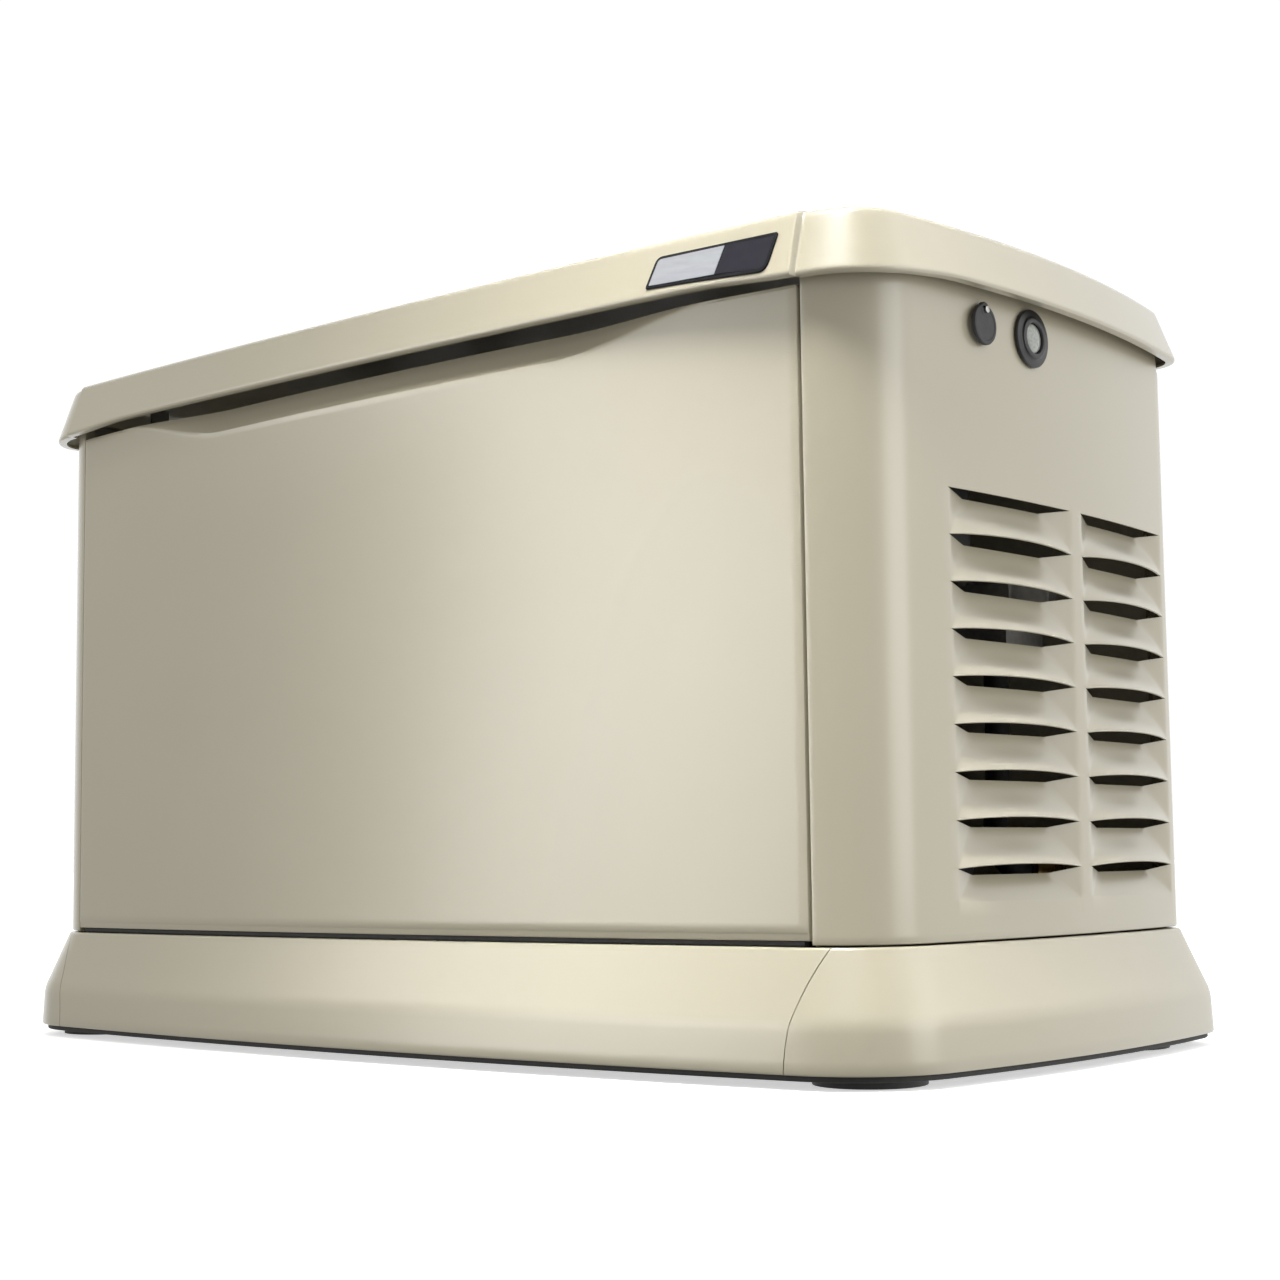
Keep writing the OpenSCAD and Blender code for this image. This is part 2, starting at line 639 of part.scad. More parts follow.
module rocker_covers() color(black_plastic) for (i = [0, 1]) on_cylinder(i) {
    translate([0, 0, head_high]) rounded_plate([108, 116, 6], 12);
    translate([0, 0, head_high + 5]) rounded_plate([96, 104, 24], 20);
    translate([0, 0, head_high + 28]) rounded_plate([84, 92, 6], 24);
    for (a = [-1, 1]) for (b = [-1, 1]) translate([a * 47, b * 51, head_high + 5])
        cylinder(h = 5, r = 5, $fn = 6);
    if (i == 0) translate([-20, -14, head_high + 32]) difference() {
        cylinder(h = 12, r = 20, $fn = 48);
        translate([0, 0, 4]) cylinder(h = 10, r = 15, $fn = 48);
    }
}
cap_place_up = head_high + 32;
module oil_fill_cap() color([0.85, 0.65, 0.10]) on_cylinder(0) translate([-20, -14, cap_place_up]) {
    translate([0, 0, 4.5]) cylinder(h = 8, r = 15 - run_gap, $fn = 48);
    translate([0, 0, 12.2]) cylinder(h = 8, r = 22, $fn = 64);
    translate([-18, -3, 20]) cube([36, 6, 7]);
}
module spark_plugs() color([0.9, 0.9, 0.88]) for (i = [0, 1]) on_cylinder(i) plug_place() {
    cylinder(h = 14, r = 10, $fn = 6);
    cylinder(h = 34, r = 6, $fn = 32);
    translate([0, 0, 20]) cylinder(h = 30, r = 9, $fn = 32);
}
module crankshaft() color(zinc) on_crank_axis() {
    rod_x(-262, -125, 20, 96);
    rod_x(-70, 20, 20, 96);
    for (x = [-134, -74]) difference() {
        rod_x(x, x + 12, 56, 96);
        translate([x - 1, -60, 30]) cube([14, 120, 40]);
        translate([x - 1, -70, 0]) cube([14, 45, 70]);
        translate([x - 1, 25, 0]) cube([14, 45, 70]);
    }
    for (x = [-134, -74]) translate([x, 0, crank_r]) rotate([0, 90, 0]) cylinder(h = 12, r = 24, $fn = 64);
    translate([0, 0, crank_r]) rod_x(-123, -73, 18, 64);
}

// ---------------------------------------------------------------- cooling, starting, inlet, exhaust

fan_x0 = -262;
module blower_housing() color(black_plastic) on_crank_axis() {
    difference() {
        union() {
            rod_x(fan_x0 - 8, case_x0 - 1, 150, 128);
            translate([fan_x0 - 8, 40, -40]) cube([case_x0 - fan_x0 + 7, 108, 190]);
            translate([fan_x0 - 8, -148, -40]) cube([case_x0 - fan_x0 + 7, 108, 190]);
        }
        rod_x(fan_x0 - 5, case_x0 + 1, 144, 128);
        translate([fan_x0 - 5, 60, 60]) cube([case_x0 - fan_x0 + 10, 83, 100]);
        translate([fan_x0 - 5, -143, 60]) cube([case_x0 - fan_x0 + 10, 83, 100]);
        rod_x(fan_x0 - 20, case_x0, 92, 96);
    }
    for (r = [30, 52, 72]) tube_x(fan_x0 - 8, fan_x0 - 5, r + 2, r - 2);
    for (a = [0 : 60 : 300]) rotate([a, 0, 0]) translate([fan_x0 - 8, 28, -2]) cube([3, 66, 4]);
}
fan_blades = 16;
module flywheel_fan() color(steel_dark) on_crank_axis() {
    tube_x(fan_x0 + 24, case_x0 - 12, 126, 108);
    tube_x(fan_x0 + 24, fan_x0 + 32, 110, 20);
    tube_x(fan_x0 + 4, case_x0 - 12, 34, 20);
    for (k = [0 : fan_blades - 1]) rotate([k * 360 / fan_blades, 0, 0]) translate([fan_x0 + 2, 62, 0])
        rotate([25, 0, 0]) cube([23, 58, 3]);
}
module starter_motor() color(dark_grey) translate([0, 134, 140]) {
    rod_x(-150, -40, 34, 64);
    rod_x(-40, -34, 30, 64);
    rod_x(-180, -149, 27, 64);
    rod_x(-186, -180, 10, 32);
    translate([0, 30, 34]) rod_x(-140, -72, 19, 48);
    translate([-150, -28, -20]) cube([8, 56, 40]);
}

mixer_z = 420;
module intake_manifold() color(cast_grey) {
    translate([-98, 0, mixer_z - 24]) cylinder(h = 72, r = 27, $fn = 64);
    translate([-98, 0, mixer_z + 47]) cylinder(h = 6, r = 36, $fn = 64);
    translate([-98, 0, mixer_z]) rotate([0, 90, 0]) cylinder(h = 44, r = 12, $fn = 48);
    for (i = [0, 1]) on_cylinder(i) translate([0, i == 0 ? 68 : -68, head_low + 26])
        rotate([i == 0 ? -90 : 90, 0, 0]) cylinder(h = 6, r = 26, $fn = 48);
    for (i = [0, 1]) {
        side = i == 0 ? -1 : 1;
        hose([[pin_x[i], side * 100, 422], [pin_x[i], side * 86, 436], [pin_x[i], side * 70, 444],
            [-98, side * 42, 444], [-98, side * 8, 444]], 16, 16, 4);
    }
}
air_z = mixer_z + 53;
module air_box() color(black_plastic) translate([-98, 0, air_z]) difference() {
    union() {
        rounded_plate([196, 190, 84], 22);
        translate([0, 0, 58]) rounded_plate([204, 198, 5], 26);
        translate([0, 0, 83]) rounded_plate([176, 170, 6], 30);
        for (x = [-60, 60]) for (j = [-1, 1]) translate([x - 9, j * 96 - 4, 46]) cube([18, 8, 26]);
    }
    translate([0, 0, 4]) rounded_plate([188, 182, 76], 18);
    translate([0, 0, -1]) cylinder(h = 8, r = 25, $fn = 64);
}
module air_filter() color([0.85, 0.80, 0.62]) translate([-98, 0, air_z + 38]) {
    rounded_plate([184, 178, 30], 16);
}
module oil_filter() color(dark_grey) translate([filter_x, -108, filter_z]) rotate([90, 0, 0]) {
    cylinder(h = 78, r = 37, $fn = 64);
    translate([0, 0, 77]) cylinder(h = 6, r = 30, $fn = 14);
}
module dipstick() color([0.85, 0.65, 0.10]) dip_place() {
    translate([0, 0, 16]) cylinder(h = 90, r = 2.5, $fn = 24);
    translate([0, 0, 97]) cylinder(h = 14, r = 7 - run_gap, $fn = 32);
    translate([0, 0, 110.2]) cylinder(h = 6, r = 13, $fn = 48);
    translate([-4, -2.5, 116]) cube([8, 5, 8]);
    translate([0, 2.5, 134]) rotate([90, 0, 0]) difference() {
        cylinder(h = 5, r = 13, $fn = 48);
        translate([0, 0, -1]) cylinder(h = 7, r = 8, $fn = 48);
    }
}
muffler_x = -450;
muffler_half = 170;
module exhaust_pipes() color(steel_dark) for (side = [-1, 1]) {
    x0 = pin_x[side < 0 ? 0 : 1];
    hose([[x0, side * 197, 325], [x0, side * 222, 300], [x0 - 30, side * (pipe_y + 6), 272],
        [x0 - 90, side * pipe_y, pipe_z], [-330, side * pipe_y, pipe_z], [-390, side * pipe_y, pipe_z],
        [-448, side * pipe_y, pipe_z], [muffler_x, side * 204, pipe_z], [muffler_x, side * 175, pipe_z]], 17, 14, 4);
}
module muffler() color(steel_dark) translate([muffler_x, 0, 0]) {
    for (z = [250, 400]) translate([0, 0, z]) rotate([90, 0, 0])
        translate([0, 0, -muffler_half]) cylinder(h = 2 * muffler_half, r = 66, $fn = 96);
    translate([-66, -muffler_half, 250]) cube([132, 2 * muffler_half, 150]);
    for (j = [-1, 1]) translate([0, j * (muffler_half + 2), 0]) {
        for (z = [250, 400]) translate([0, 2.5, z]) rotate([90, 0, 0]) cylinder(h = 5, r = 70, $fn = 96);
        translate([-70, -2.5, 250]) cube([140, 5, 150]);
    }
    translate([-98, -40, 330]) rotate([0, 90, 0]) cylinder(h = 40, r = 22, $fn = 48);
    for (y = [-90, 90]) translate([-12, y - 15, plate_top]) cube([24, 30, 175]);
    for (y = [-90, 90]) translate([-50, y - 20, plate_top]) cube([100, 40, 4]);
}

// ---------------------------------------------------------------- alternator

stator_x0 = -18;
stator_x1 = 232;
module alternator_stator() color(steel_dark) on_crank_axis() {
    difference() {
        union() {
            rod_x(stator_x0 + 0.5, stator_x0 + 12, stator_radius - 4, 96);
            rod_x(10, stator_x1, stator_radius, 96);
            for (a = [0 : 90 : 270]) rotate([a + 45, 0, 0]) translate([stator_x0 + 2, 84, -9]) cube([40, 18, 18]);
        }
        rod_x(stator_x0 - 1, stator_x1 + 1, 82, 96);
        for (a = [-60 : 40 : 60]) for (s = [0, 180]) rotate([a + s, 0, 0])
            translate([60, 86, -12]) cube([120, 40, 1]);
    }
    for (a = [0 : 30 : 330]) rotate([a, 0, 0]) translate([40, stator_radius - 1, -2]) cube([150, 3, 4]);
    translate([170, -120, 86 - crank_z]) cube([60, 240, 32]);
}
module alternator_rotor() color(copper) on_crank_axis() {
    rod_x(20, 262, 17, 64);
    tube_x(56, 196, 79, 16.5);
    for (x = [44, 196]) tube_x(x, x + 12, 70, 16.5);
    for (x = [214, 222]) tube_x(x, x + 5, 24, 16.5);
}
module bearing_carrier() color(cast_grey) on_crank_axis() difference() {
    union() {
        tube_x(stator_x1, stator_x1 + 12, stator_radius, 92);
        rod_x(stator_x1, stator_x1 + 26, 34, 64);
        for (a = [0 : 60 : 300]) rotate([a, 0, 0]) translate([stator_x1, 20, -7]) cube([12, 78, 14]);
        translate([stator_x1 + 4, -22, 40]) cube([20, 44, 40]);
    }
    rod_x(stator_x1 - 1, stator_x1 + 40, 17 + run_gap, 64);
}

// ---------------------------------------------------------------- controls and battery

face_lean = atan(73 / 95);
ctl_x0 = 326;
ctl_x1 = 536;
ctl_low_z = 440;
face_foot = [-225, 575];
face_head = [-130, 648];
control_x = (ctl_x0 + ctl_x1) / 2;
// The slanted face: X right, Y up the slope, Z out of the face
module on_face() {
    translate([control_x, (face_foot[0] + face_head[0]) / 2, (face_foot[1] + face_head[1]) / 2])
        rotate([face_lean, 0, 0]) children();
}
button_xs = [-56, -26, 4];
button_size = [22, 15, 6];
button_y = -34;
module control_housing() color(black_plastic) difference() {
    union() {
        translate([ctl_x0, 0, 0]) rotate([90, 0, 90]) linear_extrude(ctl_x1 - ctl_x0)
            polygon([[-60, ctl_low_z], [-225, ctl_low_z], face_foot, face_head, [-60, 648]]);
        on_face() translate([0, 0, -1]) rounded_plate([196, 108, 3], 8);
        translate([control_wall_x + sheet, -200, 450]) cube([ctl_x0 - control_wall_x - sheet + 1, 100, 30]);
    }
    on_face() {
        for (x = button_xs) translate([x, button_y, -4]) linear_extrude(20)
            square([button_size.x + 0.8, button_size.y + 0.8], center = true);
        translate([-20, 14, -2]) linear_extrude(20) square([104, 56], center = true);
        translate([66, 0, -12]) linear_extrude(30) square([40, 60], center = true);
    }
}
module control_display() color([0.15, 0.22, 0.20]) on_face() {
    translate([-20, 14, -2]) linear_extrude(3) square([103, 55], center = true);
}
module push_button(i) on_face() translate([button_xs[i], button_y, -2]) {
    rounded_plate([button_size.x, button_size.y, button_size.z], 2);
}
module button_off() color(red) push_button(0);
module button_auto() color([0.15, 0.45, 0.20]) push_button(1);
module button_manual() color([0.80, 0.60, 0.12]) push_button(2);

toggle_r = 12;
module main_breaker() color(dark_grey) on_face() translate([66, 0, 0]) {
    difference() {
        translate([0, 0, -12]) linear_extrude(18) square([38, 58], center = true);
        translate([0, 0, -9]) linear_extrude(20) square([12.6, 34], center = true);
    }
    translate([0, 0, 2]) rod_x(-8, 8, 1.5, 24);
}
module breaker_toggle() color(black_plastic) on_face() translate([66, 0, 2]) {
    difference() {
        rod_x(-6, 6, toggle_r - 4, 48);
        rod_x(-7, 7, 1.5 + run_gap, 24);
    }
    rotate([-25, 0, 0]) translate([-5.5, -4, 4]) cube([11, 8, 16]);
}

battery_x = [322, 528];
battery_y = [-224, -52];
battery_top = 200;
module battery() color(dark_grey) {
    mid = [(battery_x[0] + battery_x[1]) / 2, (battery_y[0] + battery_y[1]) / 2];
    size = [battery_x[1] - battery_x[0], battery_y[1] - battery_y[0]];
    translate([mid.x, mid.y, plate_top]) {
        rounded_plate([size.x, size.y, battery_top - plate_top - 24], 5);
        translate([0, 0, battery_top - plate_top - 24]) rounded_plate([size.x + 4, size.y + 2, 24], 5);
        for (j = [-1, 1]) translate([j * (size.x / 2 - 28), size.y / 2 - 26, battery_top - plate_top - 1])
            cylinder(h = 19, r = 9, $fn = 32);
        for (k = [0 : 5]) translate([-75 + k * 30, -20, battery_top - plate_top - 1]) cylinder(h = 5, r = 9, $fn = 32);
    }
}
post_y = -78;
module battery_cables() color(red) {
    hose([[500, post_y, 218], [500, post_y, 250], [440, -34, 252], [345, -36, 200], [309, -44, 150],
        [309, -110, 74], [305, -150, 54], [262, -150, 54], [200, -150, 40], [80, -150, 34], [20, -60, 34],
        [0, 80, 34], [-10, 150, 60], [-12, 172, 130], [-30, 164, 174], [-72, 164, 174]], 5, 8, 4);
    hose([[350, post_y, 218], [350, post_y, 250], [310, -72, 226], [310, -125, 90], [304, -150, 66],
        [262, -150, 66], [200, -164, 60], [150, -168, 60], [20, -170, 60],
        [-40, -165, 82], [-50, -145, 92], [-50, -126, 92]], 5, 8, 4);
}
reg_place = [430, 150, 420];
module fuel_regulator() color(cast_grey) translate(reg_place) {
    cylinder(h = 26, r = 62, $fn = 96);
    translate([0, 0, -4]) cylinder(h = 10, r = 68, $fn = 96);
    translate([0, 0, 25]) cylinder(h = 14, r = 26, $fn = 48);
    translate([-34, -34, -44]) cube([68, 68, 42]);
    translate([-60, 0, -24]) rotate([0, 90, 0]) cylinder(h = 30, r = 13, $fn = 48);
    translate([-4, 30, -56]) cube([8, 102, 14]);
    for (a = [0 : 45 : 315]) rotate([0, 0, a]) translate([58, 0, 4]) cylinder(h = 26, r = 4.5, $fn = 6);
}
inlet_r = 12.3;
inlet_depth = 30;
module fuel_inlet() color([0.72, 0.60, 0.30]) translate([fuel_x, body_rear, fuel_z]) rotate([90, 0, 0]) difference() {
    union() {
        translate([0, 0, -14]) cylinder(h = 54, r = 17, $fn = 64);
        translate([0, 0, -14]) cylinder(h = 12, r = 23, $fn = 6);
        translate([0, 0, sheet]) cylinder(h = 6, r = 26, $fn = 64);
    }
    translate([0, 0, -15]) cylinder(h = 15 + inlet_depth - 14, r = inlet_r, $fn = 64);
}
module fuel_hose() color(rubber_black) {
    hose([[fuel_x, 243, fuel_z], [fuel_x, 215, fuel_z], [410, 170, fuel_z + 30],
        [430, 150, fuel_z + 90], [430, 150, 376]], 12, 12, 4);
    hose([[370, 150, 396], [345, 150, 396], [320, 124, 440], [304, 120, 470], [270, 118, 470],
        [180, 100, 450], [60, 40, 430], [-10, 0, mixer_z], [-54, 0, mixer_z]], 9, 10, 4);
}

base_pan();
skirt_front();
skirt_rear();
skirt_right();
skirt_left();
side_panel_right();
side_panel_left();
rear_panel();
divider_exhaust();
divider_control();
panel_screws();
wall_hinge_leaves();
lock_barrels();
status_bezel();
status_lens();
roof_shell();
badge_plate();
roof_hinge_leaves();
latch_strikes();
front_panel();
lock_core_right();
lock_core_left();
lock_cover_right();
lock_cover_left();
engine_cradle();
rubber_mounts();
crankcase();
cylinders();
cylinder_heads();
rocker_covers();
spark_plugs();
intake_manifold();
air_box();
air_filter();
oil_filter();
dipstick();
oil_fill_cap();
starter_motor();
blower_housing();
flywheel_fan();
crankshaft();
alternator_rotor();
alternator_stator();
bearing_carrier();
exhaust_pipes();
muffler();
control_housing();
control_display();
button_off();
button_auto();
button_manual();
main_breaker();
breaker_toggle();
battery();
battery_cables();
fuel_regulator();
fuel_inlet();
fuel_hose();
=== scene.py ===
"""Looks of the home standby generator.

The CAD nodes stay where they are. The painted sheet metal, the locks, the status light and
the name plate are built again as finer meshes from the same arcs, and stand for their nodes.
Sizes are in millimetres up to the moment that a mesh is made. X runs along the length,
the front faces -Y, and Z is up.
"""
import math

import bmesh
import bpy
from mathutils import Matrix, Quaternion, Vector


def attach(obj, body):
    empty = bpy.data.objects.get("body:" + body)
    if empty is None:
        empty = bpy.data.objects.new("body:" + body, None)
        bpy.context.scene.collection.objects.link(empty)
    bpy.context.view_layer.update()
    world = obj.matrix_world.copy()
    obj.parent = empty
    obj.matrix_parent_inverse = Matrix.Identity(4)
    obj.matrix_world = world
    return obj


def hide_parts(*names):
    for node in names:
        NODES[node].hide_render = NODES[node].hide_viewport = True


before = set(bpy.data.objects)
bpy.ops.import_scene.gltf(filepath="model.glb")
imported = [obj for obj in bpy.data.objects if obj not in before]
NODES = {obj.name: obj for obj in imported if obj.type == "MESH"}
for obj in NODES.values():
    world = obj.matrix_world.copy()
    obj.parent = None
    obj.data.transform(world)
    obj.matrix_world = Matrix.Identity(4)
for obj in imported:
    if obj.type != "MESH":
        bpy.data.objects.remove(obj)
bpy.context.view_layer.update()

scene = bpy.context.scene
MM = 0.001


# ---------------------------------------------------------------- small maths

def mix(a, b, t):
    return a + (b - a) * t


def ease(t):
    t = min(1.0, max(0.0, t))
    return t * t * (3 - 2 * t)


def spread(a, b, count, ends=True):
    """count numbers from a to b; without the last one if ends is False."""
    steps = count - 1 if ends else count
    return [mix(a, b, i / steps) for i in range(count)]


def heading(a, b):
    return math.atan2(b.y - a.y, b.x - a.x)


def bow_radius(half, rise):
    return (half * half + rise * rise) / (2 * rise)


def solve(function, target, low, high):
    """Where a rising function reaches the target."""
    for _ in range(48):
        middle = (low + high) / 2
        if function(middle) < target:
            low = middle
        else:
            high = middle
    return (low + high) / 2


# ---------------------------------------------------------------- plan outlines

class Plan:
    """A plan outline of arcs. u runs 0-1 along the front from the middle, 1-2 round the
    corner, 2-3 along the side, 3-4 round the rear corner and 4-5 along the rear.
    A negative u is the same place on the left."""

    def __init__(self, length, front, front_bow, side_bow, corner, rear, rear_corner):
        front_r = bow_radius(length / 2, front_bow)
        side_r = bow_radius(front, side_bow)
        front_c = Vector((0, front_r - front))
        side_c = Vector((length / 2 - side_r, 0))
        between = side_c - front_c
        a = ((front_r - corner) ** 2 - (side_r - corner) ** 2 + between.length_squared) / (2 * between.length)
        h = math.sqrt((front_r - corner) ** 2 - a * a)
        along = between.normalized()
        corner_c = front_c + a * along + h * Vector((-along.y, along.x))
        rear_x = side_c.x + math.sqrt((side_r - rear_corner) ** 2 - (rear - rear_corner) ** 2)
        rear_c = Vector((rear_x, rear - rear_corner))
        a0, a1, a2 = heading(front_c, corner_c), heading(side_c, corner_c), heading(side_c, rear_c)
        self.arcs = [(front_c, front_r, -math.pi / 2, a0), (corner_c, corner, a0, a1),
                     (side_c, side_r, a1, a2), (rear_c, rear_corner, a2, math.pi / 2)]
        self.rear = rear

    def point(self, u, d=0.0):
        """The place at u, moved outward by d."""
        v = abs(u)
        if v >= 4:
            place = Vector((self.arcs[3][0].x * (5 - v), self.rear + d))
        else:
            centre, radius, start, end = self.arcs[min(3, int(v))]
            angle = mix(start, end, v - min(3, int(v)))
            place = centre + (radius + d) * Vector((math.cos(angle), math.sin(angle)))
        return Vector((-place.x, place.y)) if u < 0 else place

    def front_y(self, x, d=0.0):
        centre, radius = self.arcs[0][:2]
        return centre.y - math.sqrt((radius + d) ** 2 - x * x)

    def side_x(self, y, d=0.0):
        centre, radius = self.arcs[2][:2]
        return centre.x + math.sqrt((radius + d) ** 2 - y * y)

    def u_at_x(self, x, d=0.0):
        return solve(lambda u: self.point(u, d).x, x, 0.0, 2.0)

    def u_at_y(self, y, d=0.0):
        return solve(lambda u: self.point(u, d).y, y, 1.0, 4.0)


BODY = Plan(1156, 287.5, 31, 23, 84, 284, 32)
ROOF = Plan(1204, 290, 17, 30, 80, 290, 38)
SKIRT = Plan(1218, 319, 39, 30, 104, 319, 60)
PANEL_Z = 114.5
FRONT_TOP = 666.0
FRONT_HALF = 500.0
SIDE_TOP = 700.0
LIP_Z = 674.5
SKIRT_SHEET, SIDE_SHEET, FRONT_SHEET, ROOF_SHEET = 2.4, 1.6, 1.8, 2.2


# ---------------------------------------------------------------- meshes

def smooth_by_angle():
    """A node group that shades smooth every edge flatter than 33 degrees."""
    group = bpy.data.node_groups.new("smooth_by_angle", "GeometryNodeTree")
    group.interface.new_socket("Geometry", in_out="INPUT", socket_type="NodeSocketGeometry")
    group.interface.new_socket("Geometry", in_out="OUTPUT", socket_type="NodeSocketGeometry")
    nodes, links = group.nodes, group.links
    start, end = nodes.new("NodeGroupInput"), nodes.new("NodeGroupOutput")
    faces = nodes.new("GeometryNodeSetShadeSmooth")
    edges = nodes.new("GeometryNodeSetShadeSmooth")
    edges.domain = "EDGE"
    angle = nodes.new("GeometryNodeInputMeshEdgeAngle")
    flat = nodes.new("FunctionNodeCompare")
    flat.operation = "LESS_THAN"
    flat.inputs[1].default_value = math.radians(33)
    links.new(start.outputs[0], faces.inputs["Geometry"])
    links.new(faces.outputs[0], edges.inputs["Geometry"])
    links.new(angle.outputs["Unsigned Angle"], flat.inputs[0])
    links.new(flat.outputs[0], edges.inputs["Shade Smooth"])
    links.new(edges.outputs[0], end.inputs[0])
    return group


SMOOTH = smooth_by_angle()


def bake(obj):
    """Turns an object's modifiers into its own mesh."""
    graph = bpy.context.evaluated_depsgraph_get()
    mesh = bpy.data.meshes.new_from_object(obj.evaluated_get(graph))
    obj.modifiers.clear()
    obj.data = mesh
    return obj


def shade(obj):
    modifier = obj.modifiers.new("smooth", "NODES")
    modifier.node_group = SMOOTH
    return obj


def piece(name, verts, faces, finish, body, stands_for=(), thick=0.0, bevel=0.0,
          weld=0.02, zones=None):
    """A piece from points in millimetres. thick turns an open sheet into a closed one,
    inward; zones picks a finish for each face from its middle."""
    mesh = bpy.data.meshes.new(name)
    mesh.from_pydata([Vector(v) * MM for v in verts], [], faces)
    finishes = finish if isinstance(finish, list) else [finish]
    for f in finishes:
        mesh.materials.append(f)
    edit = bmesh.new()
    edit.from_mesh(mesh)
    bmesh.ops.remove_doubles(edit, verts=edit.verts, dist=weld * MM)
    if not thick:
        bmesh.ops.recalc_face_normals(edit, faces=edit.faces)
    edit.to_mesh(mesh)
    edit.free()
    if zones:
        for polygon in mesh.polygons:
            polygon.material_index = zones(polygon.center / MM)
    obj = bpy.data.objects.new(name, mesh)
    scene.collection.objects.link(obj)
    if thick:
        solidify = obj.modifiers.new("thick", "SOLIDIFY")
        solidify.thickness = thick * MM
        solidify.offset = -1
    if bevel:
        edges = obj.modifiers.new("edges", "BEVEL")
        edges.width = bevel * MM
        edges.segments = 2
        edges.limit_method = "ANGLE"
        edges.angle_limit = math.radians(38)
        edges.use_clamp_overlap = True
    shade(obj)
    bake(obj)
    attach(obj, body)
    if stands_for:
        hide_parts(*stands_for)
    return obj


def grid_faces(columns, rows, wrap=False, skip=None):
    """Faces of a grid whose point (c, r) has the index c * rows + r."""
    faces = []
    for c in range(columns if wrap else columns - 1):
        for r in range(rows - 1):
            if skip and skip(c, r):
                continue
            a, b = c * rows + r, (c + 1) % columns * rows + r
            faces.append((a, b, b + 1, a + 1))
    return faces


def mirrored(verts, faces):
    return [Vector((-v[0], v[1], v[2])) for v in verts], [tuple(reversed(f)) for f in faces]


def turned(profile, place, axis, segments=64):
    """Points and faces of a profile of (radius, height) turned about an axis at a place."""
    axis = Vector(axis).normalized()
    side = axis.orthogonal().normalized()
    other = axis.cross(side)
    verts, faces = [], []
    for i in range(segments):
        angle = 2 * math.pi * i / segments
        out = side * math.cos(angle) + other * math.sin(angle)
        verts += [Vector(place) + out * r + axis * h for r, h in profile]
    faces = grid_faces(segments, len(profile), wrap=True)
    faces += [tuple(range(0, segments * len(profile), len(profile))),
              tuple(reversed(range(len(profile) - 1, segments * len(profile), len(profile))))]
    return verts, faces


# ---------------------------------------------------------------- finishes

def finish(name, colour, second=None, rough=0.5, rough_by=0.08, metal=0.0, pattern="noise",
           scale=60.0, grain=900.0, bump=0.05, stretch=(1, 1, 1), coat=0.0, amount=0.5, **extra):
    """A procedural finish: two tints mixed by a pattern, a grain that is felt in the bump
    and the roughness. Scales are per metre."""
    material = bpy.data.materials.new(name)
    material.use_nodes = True
    nodes, links = material.node_tree.nodes, material.node_tree.links
    shader = nodes["Principled BSDF"]
    where = nodes.new("ShaderNodeTexCoord")
    turn = nodes.new("ShaderNodeMapping")
    turn.inputs["Scale"].default_value = stretch
    links.new(where.outputs["Object"], turn.inputs["Vector"])

    kinds = {"noise": "ShaderNodeTexNoise", "voronoi": "ShaderNodeTexVoronoi", "wave": "ShaderNodeTexWave"}
    texture = nodes.new(kinds[pattern])
    texture.inputs["Scale"].default_value = scale
    links.new(turn.outputs["Vector"], texture.inputs["Vector"])
    if pattern == "noise":
        texture.inputs["Detail"].default_value = 5
    share = nodes.new("ShaderNodeMapRange")
    share.inputs["From Min"].default_value = 0.3
    share.inputs["From Max"].default_value = 0.7
    share.inputs["To Max"].default_value = amount * 2
    links.new(texture.outputs["Color"], share.inputs["Value"])
    tint = nodes.new("ShaderNodeMix")
    tint.data_type = "RGBA"
    second = second or [c * 0.9 for c in colour]
    tint.inputs["A"].default_value = (*colour, 1)
    tint.inputs["B"].default_value = (*second, 1)
    links.new(share.outputs["Result"], tint.inputs["Factor"])
    links.new(tint.outputs["Result"], shader.inputs["Base Color"])

    fine = nodes.new("ShaderNodeTexNoise")
    fine.inputs["Scale"].default_value = grain
    fine.inputs["Detail"].default_value = 3
    links.new(turn.outputs["Vector"], fine.inputs["Vector"])
    feel = nodes.new("ShaderNodeBump")
    feel.inputs["Strength"].default_value = bump
    feel.inputs["Distance"].default_value = 0.0004
    links.new(fine.outputs["Fac"], feel.inputs["Height"])
    links.new(feel.outputs["Normal"], shader.inputs["Normal"])
    dull = nodes.new("ShaderNodeMapRange")
    dull.inputs["To Min"].default_value = max(0.02, rough - rough_by)
    dull.inputs["To Max"].default_value = min(1.0, rough + rough_by)
    links.new(fine.outputs["Fac"], dull.inputs["Value"])
    links.new(dull.outputs["Result"], shader.inputs["Roughness"])
    shader.inputs["Metallic"].default_value = metal
    shader.inputs["Coat Weight"].default_value = coat
    for socket, value in extra.items():
        shader.inputs[socket.replace("_", " ")].default_value = value
    return material


PAINT = finish("beige_paint", (0.49, 0.449, 0.332), (0.475, 0.435, 0.320), rough=0.36, rough_by=0.05,
               scale=7, grain=1600, bump=0.035, coat=1.0, Coat_Roughness=0.24)
BASE_BLACK = finish("black_composite", (0.018, 0.018, 0.017), (0.030, 0.029, 0.027), rough=0.62, scale=140,
                    grain=1900, bump=0.3)
PLASTIC = finish("black_moulding", (0.020, 0.020, 0.021), (0.028, 0.028, 0.029), rough=0.48, scale=80,
                 grain=2300, bump=0.16)
BEZEL = finish("bezel_moulding", (0.020, 0.020, 0.021), (0.030, 0.030, 0.030), rough=0.34, scale=90,
               grain=2600, bump=0.08)
RUBBER = finish("moulded_rubber", (0.020, 0.020, 0.020), (0.034, 0.033, 0.033), rough=0.72, scale=160,
                grain=2100, bump=0.2)
